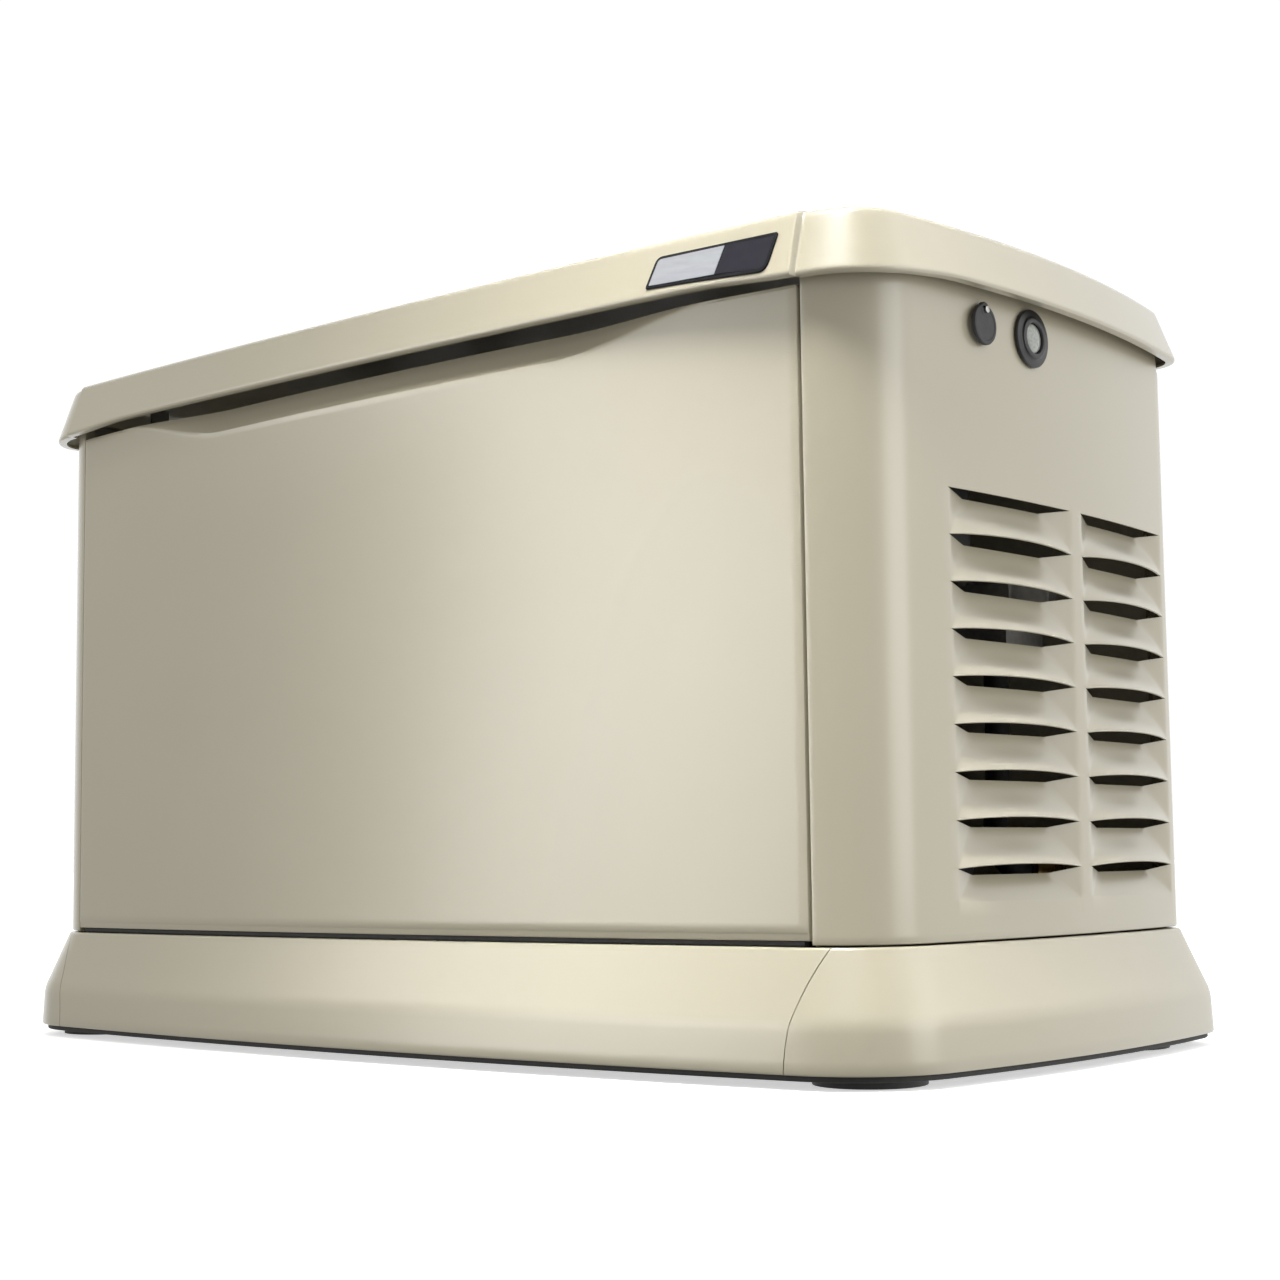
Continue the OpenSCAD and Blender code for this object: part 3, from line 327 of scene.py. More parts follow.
COVER_RUBBER = finish("cover_rubber", (0.040, 0.040, 0.042), (0.060, 0.060, 0.061), rough=0.62, scale=120,
                      grain=2400, bump=0.12)
ZINC = finish("galvanised_steel", (0.56, 0.57, 0.58), (0.40, 0.41, 0.43), rough=0.42, metal=0.9,
              pattern="voronoi", scale=95, grain=700, bump=0.06)
HARDWARE = finish("plated_steel", (0.62, 0.62, 0.60), (0.50, 0.50, 0.49), rough=0.32, metal=1.0, scale=120,
                  grain=1500, bump=0.06)
DARK_STEEL = finish("black_oxide_steel", (0.060, 0.060, 0.064), (0.10, 0.10, 0.10), rough=0.46, metal=0.7,
                    scale=60, grain=1300, bump=0.1)
CAST = finish("cast_aluminium", (0.47, 0.47, 0.46), (0.36, 0.36, 0.355), rough=0.55, metal=0.85, scale=180,
              grain=1100, bump=0.45)
FORGED = finish("machined_steel", (0.55, 0.55, 0.56), (0.43, 0.43, 0.45), rough=0.28, metal=1.0, scale=50,
                grain=900, bump=0.08, stretch=(8, 1, 1))
CERAMIC = finish("plug_ceramic", (0.80, 0.79, 0.76), (0.72, 0.71, 0.68), rough=0.22, scale=200, grain=900,
                 bump=0.03)
PAPER = finish("pleated_paper", (0.74, 0.66, 0.42), (0.45, 0.38, 0.22), rough=0.85, pattern="wave", scale=55,
               grain=1500, bump=0.2)
CAN = finish("filter_can_enamel", (0.022, 0.024, 0.028), (0.034, 0.036, 0.04), rough=0.3, scale=40,
             grain=1300, bump=0.03)
YELLOW = finish("yellow_moulding", (0.78, 0.50, 0.03), (0.66, 0.41, 0.02), rough=0.42, scale=70, grain=2000,
                bump=0.1)
STARTER = finish("starter_enamel", (0.030, 0.030, 0.032), (0.05, 0.05, 0.05), rough=0.38, scale=60,
                 grain=1200, bump=0.08)
FAN = finish("fan_aluminium", (0.50, 0.50, 0.50), (0.36, 0.36, 0.36), rough=0.45, metal=0.9, scale=90,
             grain=900, bump=0.25)
COPPER = finish("varnished_copper", (0.56, 0.20, 0.07), (0.28, 0.08, 0.03), rough=0.35, metal=0.75,
                pattern="wave", scale=160, grain=1200, bump=0.25)
STATOR = finish("stator_laminations", (0.12, 0.12, 0.125), (0.055, 0.055, 0.06), rough=0.48, metal=0.7,
                pattern="wave", scale=130, grain=1000, bump=0.25)
EXHAUST = finish("aluminised_exhaust", (0.42, 0.40, 0.37), (0.25, 0.20, 0.16), rough=0.5, metal=0.85, scale=9,
                 grain=500, bump=0.15)
DISPLAY = finish("display_glass", (0.012, 0.030, 0.022), (0.020, 0.045, 0.032), rough=0.08, rough_by=0.03,
                 scale=30, grain=400, bump=0.01, coat=0.6)
RED = finish("red_button", (0.55, 0.025, 0.018), (0.46, 0.02, 0.015), rough=0.35, scale=90, grain=1800)
GREEN = finish("green_button", (0.02, 0.27, 0.06), (0.015, 0.21, 0.045), rough=0.35, scale=90, grain=1800)
AMBER = finish("amber_button", (0.75, 0.38, 0.02), (0.64, 0.31, 0.015), rough=0.35, scale=90, grain=1800)
BATTERY = finish("battery_case", (0.014, 0.014, 0.015), (0.025, 0.025, 0.026), rough=0.5, scale=60,
                 grain=2100, bump=0.18)
RED_CABLE = finish("red_cable", (0.50, 0.022, 0.016), (0.40, 0.018, 0.013), rough=0.5, scale=60, grain=1600)
BRASS = finish("brass", (0.72, 0.50, 0.20), (0.60, 0.40, 0.15), rough=0.34, metal=1.0, scale=70, grain=1100)
LENS = finish("light_lens", (0.30, 0.32, 0.28), (0.38, 0.40, 0.36), rough=0.16, pattern="voronoi", scale=420,
              grain=600, bump=0.2, coat=0.5)
SILVER = finish("plate_silver", (0.31, 0.315, 0.335), (0.37, 0.375, 0.395), rough=0.42, metal=0.15, scale=40,
                grain=1500, bump=0.05, stretch=(1, 12, 1))
CHARCOAL = finish("plate_charcoal", (0.016, 0.015, 0.022), (0.022, 0.021, 0.028), rough=0.5, scale=50,
                  grain=1500, bump=0.05, Specular_IOR_Level=0.15)
PLATE_EDGE = finish("plate_edge", (0.008, 0.008, 0.009), (0.014, 0.014, 0.015), rough=0.5, scale=60,
                    grain=1700, Specular_IOR_Level=0.15)
ALLOY = finish("regulator_alloy", (0.44, 0.43, 0.41), (0.34, 0.33, 0.31), rough=0.5, metal=0.8, scale=150,
               grain=1000, bump=0.35)


# ---------------------------------------------------------------- skirt

def skirt_slope(z):
    """The leaning part of the skirt at a height: share of the body outline, and distances."""
    return (z - 56) / 55.5, -4.0, 3.0, z


def bend_rows(a, b, c, count):
    """Rows along a quadratic bend from a to c with its knee at b."""
    rows = []
    for t in spread(0, 1, count):
        rows.append(tuple((1 - t) ** 2 * p + 2 * t * (1 - t) * q + t * t * r for p, q, r in zip(a, b, c)))
    return rows


SKIRT_ROWS = ([(0, -7.0, 3, 12.0), (0, -1.8, 3, 12.0), (0, -0.6, 3, 12.5), (0, 0, 3, 14.0), (0, -0.5, 3, 24),
               (0, -1.1, 3, 35)]
              + bend_rows((0, -1.7, 3, 45.5), (0, -2.3, 3, 54.5), skirt_slope(63.5), 7)
              + [skirt_slope(z) for z in (74, 86, 98, 107)]
              + bend_rows(skirt_slope(109.5), (1, -4, 3.2, 112.9), (1, -4, -0.2, 112.9), 5)
              + [(1, -4, -4.0, 112.9)])


def skirt_point(u, row):
    share, d_skirt, d_body, z = row
    p = SKIRT.point(u, d_skirt) * (1 - share) + BODY.point(u, d_body) * share
    return Vector((p.x, p.y, z))


def seam_x(z):
    """Where the seam between the front and the corner pieces of the skirt runs."""
    return 493.5 + 26.5 * (max(0.0, z - 12) / 102) ** 1.9


def skirt_seam_u(row, shift):
    return solve(lambda u: skirt_point(u, row).x, seam_x(row[3]) + shift, 0.0, 2.0)


def skirt_sheet(columns):
    """columns gives the list of places for a row."""
    lists = [columns(row) for row in SKIRT_ROWS]
    verts = [skirt_point(lists[r][c], SKIRT_ROWS[r]) for c in range(len(lists[0]))
             for r in range(len(SKIRT_ROWS))]
    return verts, grid_faces(len(lists[0]), len(SKIRT_ROWS))


def front_columns(row):
    end = skirt_seam_u(row, -0.45)
    right = spread(0, 0.9, 16, ends=False) + spread(0.9, end, 12)
    return [-u for u in reversed(right[1:])] + right


REAR_SEAM_X, SEAM_HALF_GAP = 506.0, 0.3


def rear_seam_u(shift):
    """Where the seam at the rear of the skirt runs, on the straight part of the outline."""
    straight = SKIRT.arcs[3][0].x
    return 4 + (straight - (REAR_SEAM_X + shift)) / straight


def corner_columns(row):
    start = skirt_seam_u(row, 0.45)
    end = rear_seam_u(SEAM_HALF_GAP)
    return (spread(start, 1.5, 10, ends=False) + spread(1.5, 2, 12, ends=False) + spread(2, 3, 22, ends=False)
            + spread(3, 4, 14, ends=False) + spread(4, end, 4))


def rear_columns(_):
    start = rear_seam_u(-SEAM_HALF_GAP)
    right = spread(start, 5, 12, ends=False)
    return right + [5.0] + [-u for u in reversed(right)]


verts, faces = skirt_sheet(front_columns)
piece("skirt_front_sheet", verts, faces, PAINT, "enclosure", ["skirt_front"],
      thick=SKIRT_SHEET)
verts, faces = skirt_sheet(rear_columns)
piece("skirt_rear_sheet", verts, faces, PAINT, "enclosure", ["skirt_rear"],
      thick=SKIRT_SHEET)
verts, faces = skirt_sheet(corner_columns)
piece("skirt_right_sheet", verts, faces, PAINT, "enclosure", ["skirt_right"],
      thick=SKIRT_SHEET)
verts, faces = mirrored(verts, faces)
piece("skirt_left_sheet", verts, faces, PAINT, "enclosure", ["skirt_left"],
      thick=SKIRT_SHEET)


# ---------------------------------------------------------------- louvered side panels

LOUVER_TOP, LOUVER_PITCH, LOUVER_ROWS, LOUVER_END = 499.0, 40.5, 9, 147.0
LOUVER_COLUMNS = [(-150.0, 46.0), (66.0, 250.0)]
BLADE_DEPTH, BLADE_DROP, BLADE_RAMP, BLADE_BULGE, BLADE_ARCH = 13.0, 5.5, 38.0, 6.0, 4.0
BLADE_V = [0, 0.06, 0.14, 0.26, 0.4, 0.54, 0.66, 0.77, 0.86, 0.93, 0.97, 1]
END_STEPS, MIDDLE_STEPS = 5, 14
REAR_BEND_Y = 252.2
# Behind LOW_BACK_Y the panel is only as high as the front panel; it is drawn in from TAPER_Z up
LOW_BACK_Y, TAPER_Z = 259, 640


def blade_z(i):
    """Upper and lower end of blade i at its ends."""
    low = LOUVER_TOP - (i + 1) * LOUVER_PITCH if i < LOUVER_ROWS - 1 else LOUVER_END
    return LOUVER_TOP - i * LOUVER_PITCH, low


def blade_columns(width, v):
    """Distances along a blade at share v of its height: a fan at each end, even between."""
    reach = BLADE_RAMP * mix(1.0, 0.06, v)
    left = [reach * j / END_STEPS for j in range(END_STEPS)]
    return left + spread(reach, width - reach, MIDDLE_STEPS) + [width - s for s in reversed(left)]


def soft_min(a, b, k=0.10):
    h = max(0.0, min(1.0, 0.5 + 0.5 * (b - a) / k))
    return mix(b, a, h) - k * h * (1 - h)


def blade_point(i, y0, y1, s, v):
    width = y1 - y0
    edge = min(s, width - s)
    last = i == LOUVER_ROWS - 1
    arch = 4 * (s / width) * (1 - s / width)
    arch = arch ** 0.8
    top, low = blade_z(i)
    start = top - BLADE_DROP * min(1.0, edge / BLADE_RAMP)
    end = low if last else low + BLADE_ARCH * arch
    z = mix(start, end, v)
    inset = BLADE_DEPTH * max(0.0, soft_min(1 - v, edge / BLADE_RAMP))
    if edge < 1e-6:
        inset, z = 0.0, mix(top, low, v)
    if v >= 1 or (v <= 0 and edge < 1e-6):
        inset = 0.0
    bulge = 0.0 if last else BLADE_BULGE * arch * ease((v - 0.25) / 0.75) ** 1.2
    y = y0 + s
    return Vector((BODY.side_x(y, bulge - inset), y, z))


def side_panel():
    """The right side panel as one open sheet, with its louvers pressed out of it."""
    side_z = [(PANEL_Z, -9), (PANEL_Z, -1.6), (PANEL_Z + 0.6, -0.5), (PANEL_Z + 1.8, 0), (122, 0), (134, 0)]
    rows = list(side_z)
    for i in reversed(range(LOUVER_ROWS)):
        top, low = blade_z(i)
        rows += [(mix(low, top, 1 - v), 0) for v in reversed(BLADE_V[1:])]
    low_row, high_row = len(side_z), len(rows)
    rows += [(LOUVER_TOP, 0)]
    rows += [(z, 0) for z in (508, 520, 540, 560, 580, 600, 615, 630, 645, 655, 664, 672, 680, 690, 697)]
    rows += [(SIDE_TOP - 0.6, -0.4), (SIDE_TOP, -1.4), (SIDE_TOP, -8)]
    seam = BODY.u_at_x(FRONT_HALF + 2.6)
    places = [("seam", -13.0), ("seam", -1.4), ("seam", -0.3)]
    places += [("u", u) for u in spread(seam + 0.012, 2, 24, ends=False)]
    places += [("y", y) for y in spread(BODY.point(2).y, LOUVER_COLUMNS[0][0], 4, ends=False)]
    windows = []
    for y0, y1 in LOUVER_COLUMNS:
        first = len(places)
        places += [("y", y0 + s) for s in blade_columns(y1 - y0, 1.0)]
        windows.append((first, len(places) - 1))
        if y1 < 60:
            places += [("y", 52.0), ("y", 60.0)]
    places += [("u", u) for u in spread(BODY.u_at_y(REAR_BEND_Y), 3.965, 12)]
    places += [("end", -1.4), ("end", -9.0)]
    verts = []
    for kind, value in places:
        for z, d in rows:
            if kind == "u":
                p = BODY.point(value, d)
            elif kind == "y":
                p = Vector((BODY.side_x(value, d), value))
            elif kind == "seam":
                u = seam + (0.006 if value > -1 else 0.0)
                p = BODY.point(u, min(value, d)) if value > -5 else Vector((FRONT_HALF + 2.7,
                                                                           BODY.point(seam, 0).y + 13.0))
            else:
                p = BODY.point(3.975, min(value, d))
            if p.y > LOW_BACK_Y and z > TAPER_Z:
                z = TAPER_Z + (z - TAPER_Z) * (FRONT_TOP - TAPER_Z) / (SIDE_TOP - TAPER_Z)
            verts.append(Vector((p.x, p.y, z)))

    def hole(c, r):
        return low_row <= r < high_row and any(a <= c < b for a, b in windows)

    faces = grid_faces(len(places), len(rows), skip=hole)
    for y0, y1 in LOUVER_COLUMNS:
        for i in range(LOUVER_ROWS):
            start = len(verts)
            count = len(blade_columns(y1 - y0, 0))
            shares = list(reversed(BLADE_V))
            grids = [blade_columns(y1 - y0, v) for v in shares]
            for c in range(count):
                verts += [blade_point(i, y0, y1, grids[r][c], shares[r]) for r in range(len(shares))]
            faces += [tuple(start + k for k in f) for f in grid_faces(count, len(shares))]
    return verts, faces


verts, faces = side_panel()
piece("side_sheet_right", verts, faces, PAINT, "enclosure", ["side_panel_right"],
      thick=SIDE_SHEET, weld=0.05)
verts, faces = mirrored(verts, faces)
piece("side_sheet_left", verts, faces, PAINT, "enclosure", ["side_panel_left"],
      thick=SIDE_SHEET, weld=0.05)


# ---------------------------------------------------------------- front panel

RECESS_DEPTH, RECESS_DROP, RECESS_IN, RECESS_OUT = 22.0, 27.0, 235.0, 415.0


def recess(x):
    return ease((RECESS_OUT - abs(x)) / (RECESS_OUT - RECESS_IN))


def front_panel():
    places = [(-FRONT_HALF, 13), (-FRONT_HALF, 1.3), (-FRONT_HALF + 0.4, 0.3), (-FRONT_HALF + 1.5, 0)]
    places += [(x, 0) for x in spread(-490, 490, 99)]
    places += [(-x, back) for x, back in reversed(places[:4])]
    verts = []
    for x, back in places:
        y = BODY.front_y(x)
        k = recess(x)
        crease = FRONT_TOP - 1.5 - (RECESS_DROP - 1.5) * k
        lean = RECESS_DEPTH * k
        rows = [(13, 118), (2.6, 118), (1.4, 118.3), (0.9, 119.2), (0.8, 123.2), (0.5, 124.2)]
        rows += [(0, 125.2), (0, 133)]
        rows += [(0, z) for z in spread(150, 600, 13)] + [(0, 618)]
        rows += [(0, mix(618, crease, 0.6)), (0, crease - 3.0 - 3 * k), (0.04 * lean, crease - 1.2),
                 (0.14 * lean, crease + 1.0 * k), (0.55 * lean, mix(crease, FRONT_TOP, 0.55)),
                 (lean, FRONT_TOP - 1.2), (lean + 0.4, FRONT_TOP - 0.3), (lean + 1.4, FRONT_TOP),
                 (lean + 11, FRONT_TOP)]
        for dy, z in rows:
            verts.append(Vector((x, y + max(dy, back), z)))
    return verts, grid_faces(len(places), len(verts) // len(places))


verts, faces = front_panel()
piece("front_sheet", verts, faces, PAINT, "front_panel", ["front_panel"],
      thick=FRONT_SHEET)


def bottom_seal():
    """A rubber strip under the front panel's folded edge, that shuts the gap over the skirt."""
    section = [(3.2, 117.6), (3.2, 114.4), (4.4, 113.3), (9.0, 113.3), (10.2, 114.4), (10.2, 117.6)]
    places = spread(-494, 494, 60)
    verts = [Vector((x, BODY.front_y(x) + dy, z)) for x in places for dy, z in section]
    faces = grid_faces(len(places), len(section))
    last = len(section) - 1
    for c in range(len(places) - 1):
        a, b = c * len(section), (c + 1) * len(section)
        faces.append((a + last, b + last, b, a))
    faces += [tuple(range(len(section))), tuple(reversed(range(len(verts) - len(section), len(verts))))]
    return verts, faces


verts, faces = bottom_seal()
piece("front_bottom_seal", verts, faces, RUBBER, "front_panel")

# ---------------------------------------------------------------- roof

VISOR_STEP = 7.0
ROOF_ROWS = [(-9, 674.5), (-2.4, 674.5), (-1.0, 674.8), (-0.2, 675.7), (0, 677), (-0.35, 678.6), (-1, 680.2),
             (-3.6, 687.2), (-6.2, 694), (-9.2, 702), (-12.2, 710), (-15, 717.4), (-16.6, 721.6),
             (-17.6, 724.0), (-19.0, 725.9), (-20.9, 727.3), (-23.4, 728.3), (-26.5, 729.0), (-30, 729.4)]
ROOF_CAPS = [0.985, 0.96, 0.92, 0.85, 0.74, 0.6, 0.45, 0.3, 0.15, 0.05]


def lip_dip(x, y):
    """How far the lip hangs lower than at the sides: a little in front, most at the corners."""
    front = 1.2 + 4.8 * ease((abs(x) - 400) / 110)
    return front * (1 - ease((y + 255) / 105))


def roof_half(d, end):
    """Right half of a ring: the visor stands out as far as x = end."""
    points = []
    for x in spread(0, 480, 17) + [490, end - 4.5, end - 2]:
        points.append((x, ROOF.front_y(x, d) - VISOR_STEP))
    for dx, share in ((-0.7, 0.95), (-0.1, 0.78), (0.25, 0.5), (0.6, 0.22), (1.1, 0.06), (1.9, 0.0)):
        points.append((end + dx, ROOF.front_y(end + dx, d) - VISOR_STEP * share))
    for u in (spread(1, 2, 26, ends=False) + spread(2, 3, 24, ends=False) + spread(3, 4, 14, ends=False)
              + spread(4, 5, 9)):
        p = ROOF.point(u, d)
        points.append((p.x, p.y))
    return points


def roof_ring(d, z):
    share = (z - LIP_Z) / (722 - LIP_Z)
    half = roof_half(d, mix(508.6, 505.2, min(1, share)))
    ring = half + [(-x, y) for x, y in reversed(half[1:-1])]
    return [Vector((x, y, z - lip_dip(x, y) * max(0.0, 1 - share))) for x, y in ring]


def roof_shell():
    rings = [roof_ring(d, z) for d, z in ROOF_ROWS]
    rim = rings[-1]
    for k in ROOF_CAPS:
        rings.append([Vector((p.x * k, p.y * k, 729.4 + 2.5 * (1 - k * k))) for p in rim])
    count = len(rim)
    verts = [ring[c] for c in range(count) for ring in rings]
    faces = grid_faces(count, len(rings), wrap=True)
    faces.append(tuple(c * len(rings) + len(rings) - 1 for c in range(count)))
    return verts, faces


verts, faces = roof_shell()
piece("roof_sheet", verts, faces, PAINT, "roof", ["roof_shell"], thick=ROOF_SHEET)


def visor_point(x, z, out):
    """A place on the visor's slanted face, moved out of it."""
    d = -1 - 15.6 * (z - 680.2) / 41.4
    lean = math.atan(15.6 / 41.4)
    turn = math.asin(x / ROOF.arcs[0][1])
    normal = Vector((math.sin(turn) * math.cos(lean), -math.cos(turn) * math.cos(lean), math.sin(lean)))
    z -= lip_dip(x, -290) * max(0.0, 1 - (z - LIP_Z) / (722 - LIP_Z))
    return Vector((x, ROOF.front_y(x, d) - VISOR_STEP, z)) + normal * out


def plate_ring(corners, radii, out, steps=6):
    """A ring on the visor's face through four corners, each rounded by its own radius."""
    points = []
    for i, (x, z) in enumerate(corners):
        corner, r = Vector((x, z)), radii[i]
        before, after = Vector(corners[i - 1]), Vector(corners[(i + 1) % 4])
        a = corner + (before - corner).normalized() * r
        b = corner + (after - corner).normalized() * r
        for t in spread(0, 1, steps):
            q = (1 - t) ** 2 * a + 2 * t * (1 - t) * corner + t * t * b
            points.append(visor_point(q.x, q.y, out))
    return points


def plate_piece(name, rings, material):
    """A plate from rings that start behind and end on its face; both ends are filled."""
    count = len(rings[0])
    verts = [ring[c] for c in range(count) for ring in rings]
    faces = grid_faces(count, len(rings), wrap=True)
    verts += [sum(ring, Vector((0, 0, 0))) / count for ring in (rings[0], rings[-1])]
    last = len(rings) - 1
    for c in range(count):
        a, b = c * len(rings), (c + 1) % count * len(rings)
        faces += [(b, a, len(verts) - 2), (a + last, b + last, len(verts) - 1)]
    return piece(name, verts, faces, material, "roof", bevel=0)


PLATE_LEFT, PLATE_LENGTH, PLATE_SLANT = 355.5, 129, 5.5
PLATE_LOW, PLATE_DROP, PLATE_HIGH, PLATE_HEIGHT = 682.5, 3, 711.8, 31


def name_plate():
    """A slanted plate with a dark rim, a light field and a dark field, and no lettering."""

    def corners(s0, s1, inset):
        """Corners between two shares of the length, moved inward from the rim."""
        ds, dt = inset / PLATE_LENGTH, inset / PLATE_HEIGHT
        s0, s1 = max(s0, ds), min(s1, 1 - ds)
        return [(PLATE_LEFT + PLATE_LENGTH * s + PLATE_SLANT * t,
                 mix(PLATE_LOW - PLATE_DROP * s, PLATE_HIGH, t))
                for s, t in ((s0, dt), (s1, dt), (s1, 1 - dt), (s0, 1 - dt))]

    radii, small = [2.5, 9, 3, 6], [1.5, 7, 1.8, 4]
    outer, inner = corners(0, 1, 0), corners(0, 1, 2.7)
    rim = [plate_ring(outer, radii, -0.3), plate_ring(outer, radii, 1.3),
           plate_ring(corners(0, 1, 0.4), radii, 1.7), plate_ring(inner, small, 1.7),
           plate_ring(inner, small, 1.2)]
    plate_piece("name_plate_base", rim, PLATE_EDGE)
    split, margin = 0.58, 0.004
    fields = (("name_plate_light_field", corners(0, split - margin, 2.9), [1.4, 0.4, 0.4, 3.8], SILVER),
              ("name_plate_dark_field", corners(split + margin, 1, 2.9), [0.4, 6.8, 1.6, 0.4], CHARCOAL))
    for name, field, r, material in fields:
        plate_piece(name, [plate_ring(field, r, out) for out in (1.0, 1.45, 1.55)], material)


# ---------------------------------------------------------------- locks and status light

LOCK_Y, LOCK_Z, EAR_RISE = -98, 647, 13
LIGHT_Y, LIGHT_Z = -18, 648
LOCK = Vector((BODY.side_x(LOCK_Y), LOCK_Y, LOCK_Z))
LIGHT = Vector((BODY.side_x(LIGHT_Y), LIGHT_Y, LIGHT_Z))
SWING_AXIS = Vector((1, 0, 0))


def wall_normal(y):
    turn = math.asin(y / BODY.arcs[2][1])
    return Vector((math.cos(turn), math.sin(turn), 0))


def lock_cover():
    """A round rubber cover with a domed face, hanging from a smaller round ear. It is square to
    the pin that it swings on, so that it keeps its distance from the lock."""
    disc = [(17.2, 2.8), (18.0, 3.5), (18.0, 5.6), (17.4, 6.6), (16.2, 7.0), (14.6, 7.0), (14.0, 6.5),
            (12.6, 6.4), (6, 6.7), (1, 6.8)]
    ear = [(6.6, 2.8), (7.2, 3.3), (7.2, 5.8), (6.4, 6.7), (5, 7.0), (1.7, 7.0)]
    verts, faces = turned(disc, LOCK, SWING_AXIS)
    more, ends = turned(ear, LOCK + Vector((0, 0, EAR_RISE)), SWING_AXIS, 40)
    count = len(verts)
    return verts + more, faces + [tuple(count + k for k in f) for f in ends]


verts, faces = lock_cover()
piece("lock_cover_rubber_right", verts, faces, COVER_RUBBER, "lock_cover_right",
      ["lock_cover_right"])
verts, faces = mirrored(verts, faces)
piece("lock_cover_rubber_left", verts, faces, COVER_RUBBER, "lock_cover_left",
      ["lock_cover_left"])

BEZEL_PROFILE = [(14.0, -14), (14.6, -14), (14.6, 1), (26, 1), (26.5, 1.6), (26.5, 3.0), (25.8, 3.8),
                 (24.6, 4.1), (20.6, 4.1), (19.6, 4.5), (19.0, 5.2), (18.8, 6.0), (18.0, 6.5),
                 (15.2, 6.5), (14.3, 6.2), (13.6, 5.2), (13.6, 2.6), (13.6, -12)]
LENS_PROFILE = [(12.4, -10), (13.3, -9), (13.3, 3.0), (12.9, 3.9), (11.6, 4.5), (8, 5.1), (4, 5.4),
                (0.8, 5.5)]


def ring_faces(segments, count):
    """Faces of a turned ring whose profile closes on itself."""
    faces = grid_faces(segments, count, wrap=True)
    return faces + [((c + 1) % segments * count, c * count, c * count + count - 1,
                     (c + 1) % segments * count + count - 1) for c in range(segments)]


verts, _ = turned(BEZEL_PROFILE, LIGHT, wall_normal(LIGHT_Y), 72)
piece("status_ring", verts, ring_faces(72, len(BEZEL_PROFILE)), BEZEL, "enclosure",
      ["status_bezel"])
verts, faces = turned(LENS_PROFILE, LIGHT, wall_normal(LIGHT_Y), 64)
piece("status_lens_cover", verts, faces, LENS, "enclosure", ["status_lens"])

name_plate()
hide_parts("badge_plate")


# ---------------------------------------------------------------- CAD nodes that stay

CAD_FINISH = {
    "base_pan": BASE_BLACK, "rear_panel": PAINT, "divider_exhaust": ZINC, "divider_control": ZINC,
    "panel_screws": HARDWARE, "wall_hinge_leaves": HARDWARE, "lock_barrels": HARDWARE,
    "roof_hinge_leaves": HARDWARE, "latch_strikes": HARDWARE, "lock_core_right": HARDWARE,
    "lock_core_left": HARDWARE, "engine_cradle": DARK_STEEL, "rubber_mounts": RUBBER, "crankcase": CAST,
    "cylinders": CAST, "cylinder_heads": CAST, "rocker_covers": PLASTIC,
    "spark_plugs": CERAMIC, "intake_manifold": CAST, "air_box": PLASTIC,
    "air_filter": PAPER, "oil_filter": CAN, "dipstick": YELLOW, "oil_fill_cap": YELLOW,
    "starter_motor": STARTER, "blower_housing": PLASTIC, "flywheel_fan": FAN, "crankshaft": FORGED,
    "alternator_rotor": COPPER, "alternator_stator": STATOR, "bearing_carrier": CAST,
    "exhaust_pipes": EXHAUST, "muffler": EXHAUST, "control_housing": PLASTIC, "control_display": DISPLAY,
    "button_off": RED, "button_auto": GREEN, "button_manual": AMBER, "main_breaker": PLASTIC,
    "breaker_toggle": PLASTIC, "battery": BATTERY, "battery_cables": RED_CABLE, "fuel_regulator": ALLOY,
    "fuel_inlet": BRASS, "fuel_hose": RUBBER,
}
FINE_EDGES = {"breaker_toggle": 0.3, "button_off": 0.5, "button_auto": 0.5, "button_manual": 0.5,
              "control_display": 0.3, "lock_core_right": 0.25, "lock_core_left": 0.25, "rear_panel": 0.4,
              "panel_screws": 0.4, "battery_cables": 0.0, "fuel_hose": 0.0, "exhaust_pipes": 0.0,
              "cylinders": 0.5, "cylinder_heads": 0.5}

for name, material in CAD_FINISH.items():
    obj = NODES[name]
    obj.data.materials.clear()
    obj.data.materials.append(material)
    if "custom_normal" in obj.data.attributes:
        obj.data.attributes.remove(obj.data.attributes["custom_normal"])
    weld = obj.modifiers.new("weld", "WELD")
    weld.merge_threshold = 0.00001
    width = FINE_EDGES.get(name, 0.8)
    if width:
        edges = obj.modifiers.new("edges", "BEVEL")
        edges.width = width * MM
        edges.segments = 2
        edges.limit_method = "ANGLE"
        edges.angle_limit = math.radians(40)
    shade(obj)


# ---------------------------------------------------------------- floor, light, camera

FLOOR_HALF = 40  # metres, like every size from here on


def stage_floor():
    verts = [(i * FLOOR_HALF, j * FLOOR_HALF, 0) for i, j in ((-1, -1), (1, -1), (1, 1), (-1, 1))]
    mesh = bpy.data.meshes.new("floor")
    mesh.from_pydata(verts, [], [(0, 1, 2, 3)])
    floor = bpy.data.objects.new("floor", mesh)
    scene.collection.objects.link(floor)
    mesh.materials.append(finish("pale_floor", (0.93, 0.93, 0.93), (0.91, 0.91, 0.91), rough=0.8, scale=3,
                                 grain=200, bump=0.02, Emission_Color=(1, 1, 1, 1), Emission_Strength=0.55))
    floor.visible_diffuse = False
    floor.visible_glossy = False


def area_light(name, place, target, size, power, roll=0.0, spread=180.0):
    data = bpy.data.lights.new(name, "AREA")
    data.spread = math.radians(spread)
    data.shape = "RECTANGLE"
    data.size, data.size_y = size
    data.energy = power
    light = bpy.data.objects.new(name, data)
    light.location = place
    facing = (Vector(target) - Vector(place)).to_track_quat("-Z", "Y")
    light.rotation_euler = (facing @ Quaternion((0, 0, 1), math.radians(roll))).to_euler()
    scene.collection.objects.link(light)
    return light


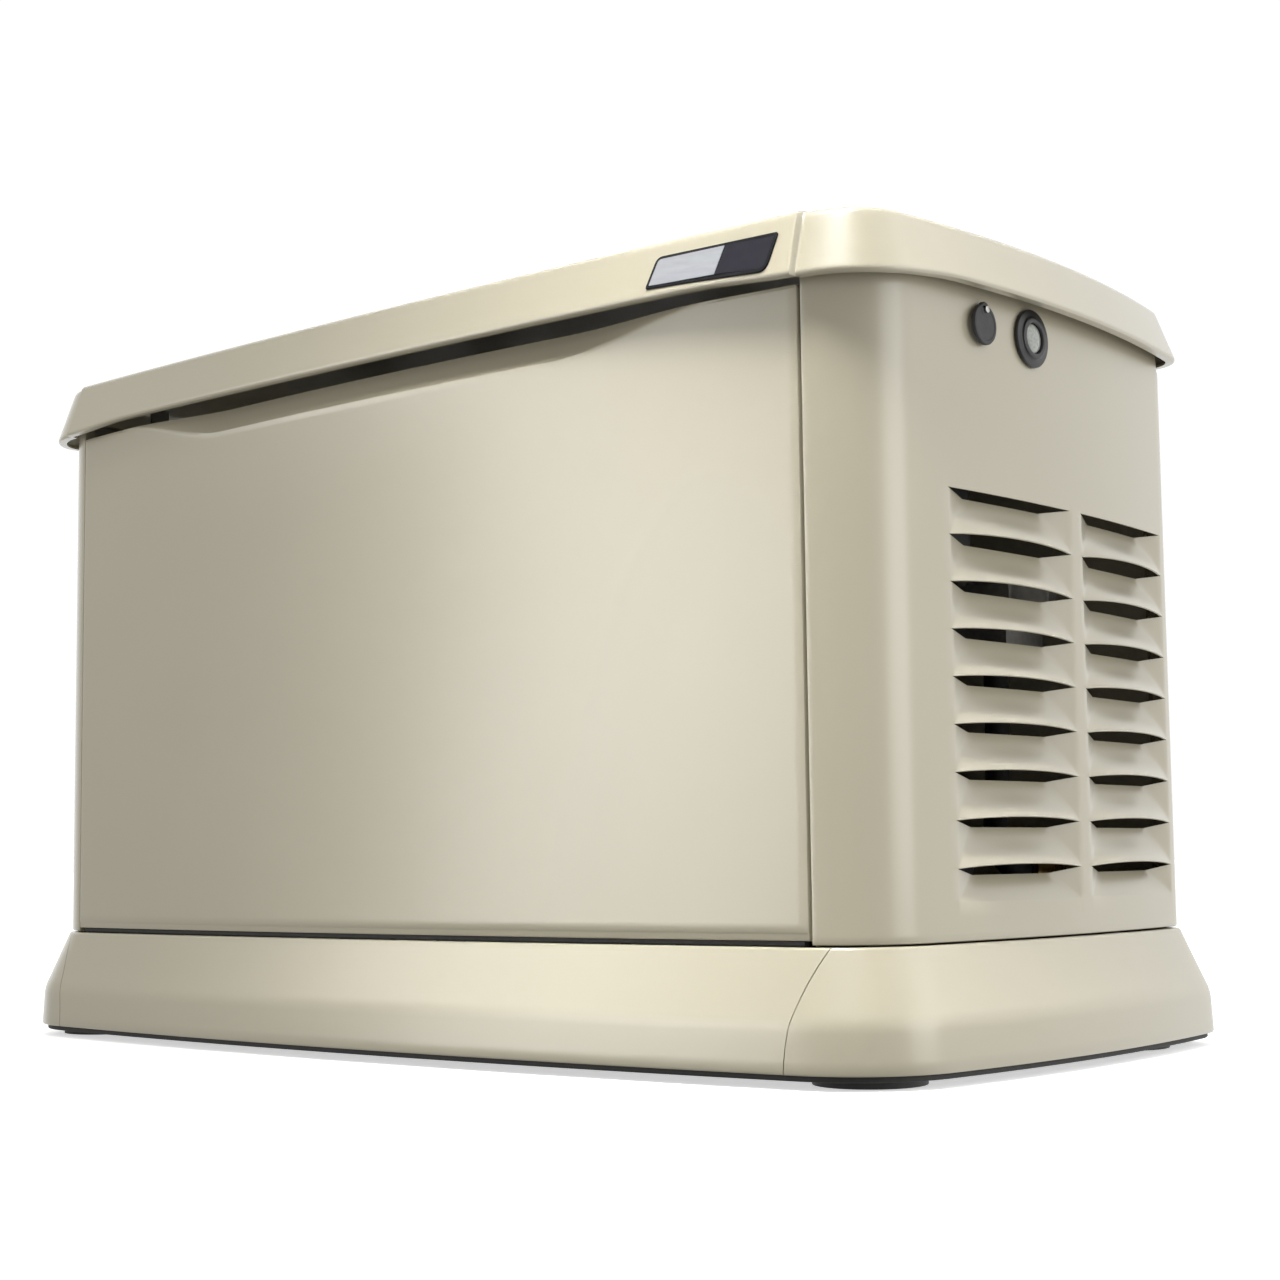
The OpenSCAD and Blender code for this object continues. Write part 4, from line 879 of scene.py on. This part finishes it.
def world_light():
    """White behind the object and dimmer in front of it, so that the lamps shape the front."""
    world = bpy.data.worlds.new("studio")
    scene.world = world
    world.use_nodes = True
    nodes, links = world.node_tree.nodes, world.node_tree.links
    back = nodes["Background"]
    where = nodes.new("ShaderNodeTexCoord")
    split = nodes.new("ShaderNodeSeparateXYZ")
    links.new(where.outputs["Generated"], split.inputs[0])
    level = nodes.new("ShaderNodeMapRange")
    level.interpolation_type = "SMOOTHSTEP"
    level.inputs["From Min"].default_value = -0.25
    level.inputs["From Max"].default_value = 0.35
    level.inputs["To Min"].default_value = 0.37
    level.inputs["To Max"].default_value = 1.05
    links.new(split.outputs["Y"], level.inputs["Value"])
    links.new(level.outputs["Result"], back.inputs["Strength"])
    back.inputs["Color"].default_value = (1, 1, 1, 1)


CAMERA_PLACE = (1.5864, -1.7393, 0.188)
CAMERA_TURN = (0.7084, 0.0976, -0.0123)  # yaw, pitch and roll in radians
LENS_LENGTH = 62.41


def studio_camera():
    yaw, pitch, roll = CAMERA_TURN
    forward = Vector((-math.sin(yaw) * math.cos(pitch), math.cos(yaw) * math.cos(pitch), math.sin(pitch)))
    right = Vector((math.cos(yaw), math.sin(yaw), 0))
    up = right.cross(forward)
    across = math.cos(roll) * right + math.sin(roll) * up
    upward = -math.sin(roll) * right + math.cos(roll) * up
    data = bpy.data.cameras.new("camera")
    data.lens, data.sensor_width = LENS_LENGTH, 36
    data.clip_start, data.clip_end = 0.05, 200
    camera = bpy.data.objects.new("camera", data)
    camera.matrix_world = Matrix.Translation(CAMERA_PLACE) @ Matrix(
        (across, upward, -forward)).transposed().to_4x4()
    scene.collection.objects.link(camera)
    scene.camera = camera


stage_floor()
area_light("low_front_box", (-1.50, -3.0, 0.45), (0.15, -0.3, 0.40), (1.4, 1.9), 30, roll=-12)
area_light("high_left_box", (-1.75, -1.9, 1.60), (0.1, -0.3, 0.2), (1.1, 0.8), 6.5, roll=-15)
area_light("top_front_box", (0.3, -1.0, 2.7), (0.2, -0.3, 0.5), (0.8, 0.8), 14.5)
area_light("narrow_beam", (0.60, -1.0, 2.6), (0.40, -0.3, 0.33), (0.6, 0.6), 2.7, spread=26)
area_light("right_box", (2.9, 1.3, 2.2), (0.4, 0, 0.4), (2.0, 2.0), 7.6)
area_light("low_right_box", (3.2, 0.2, 0.7), (0.5, 0, 0.4), (1.4, 1.4), 15)
world_light()
studio_camera()
scene.view_settings.view_transform = "Standard"
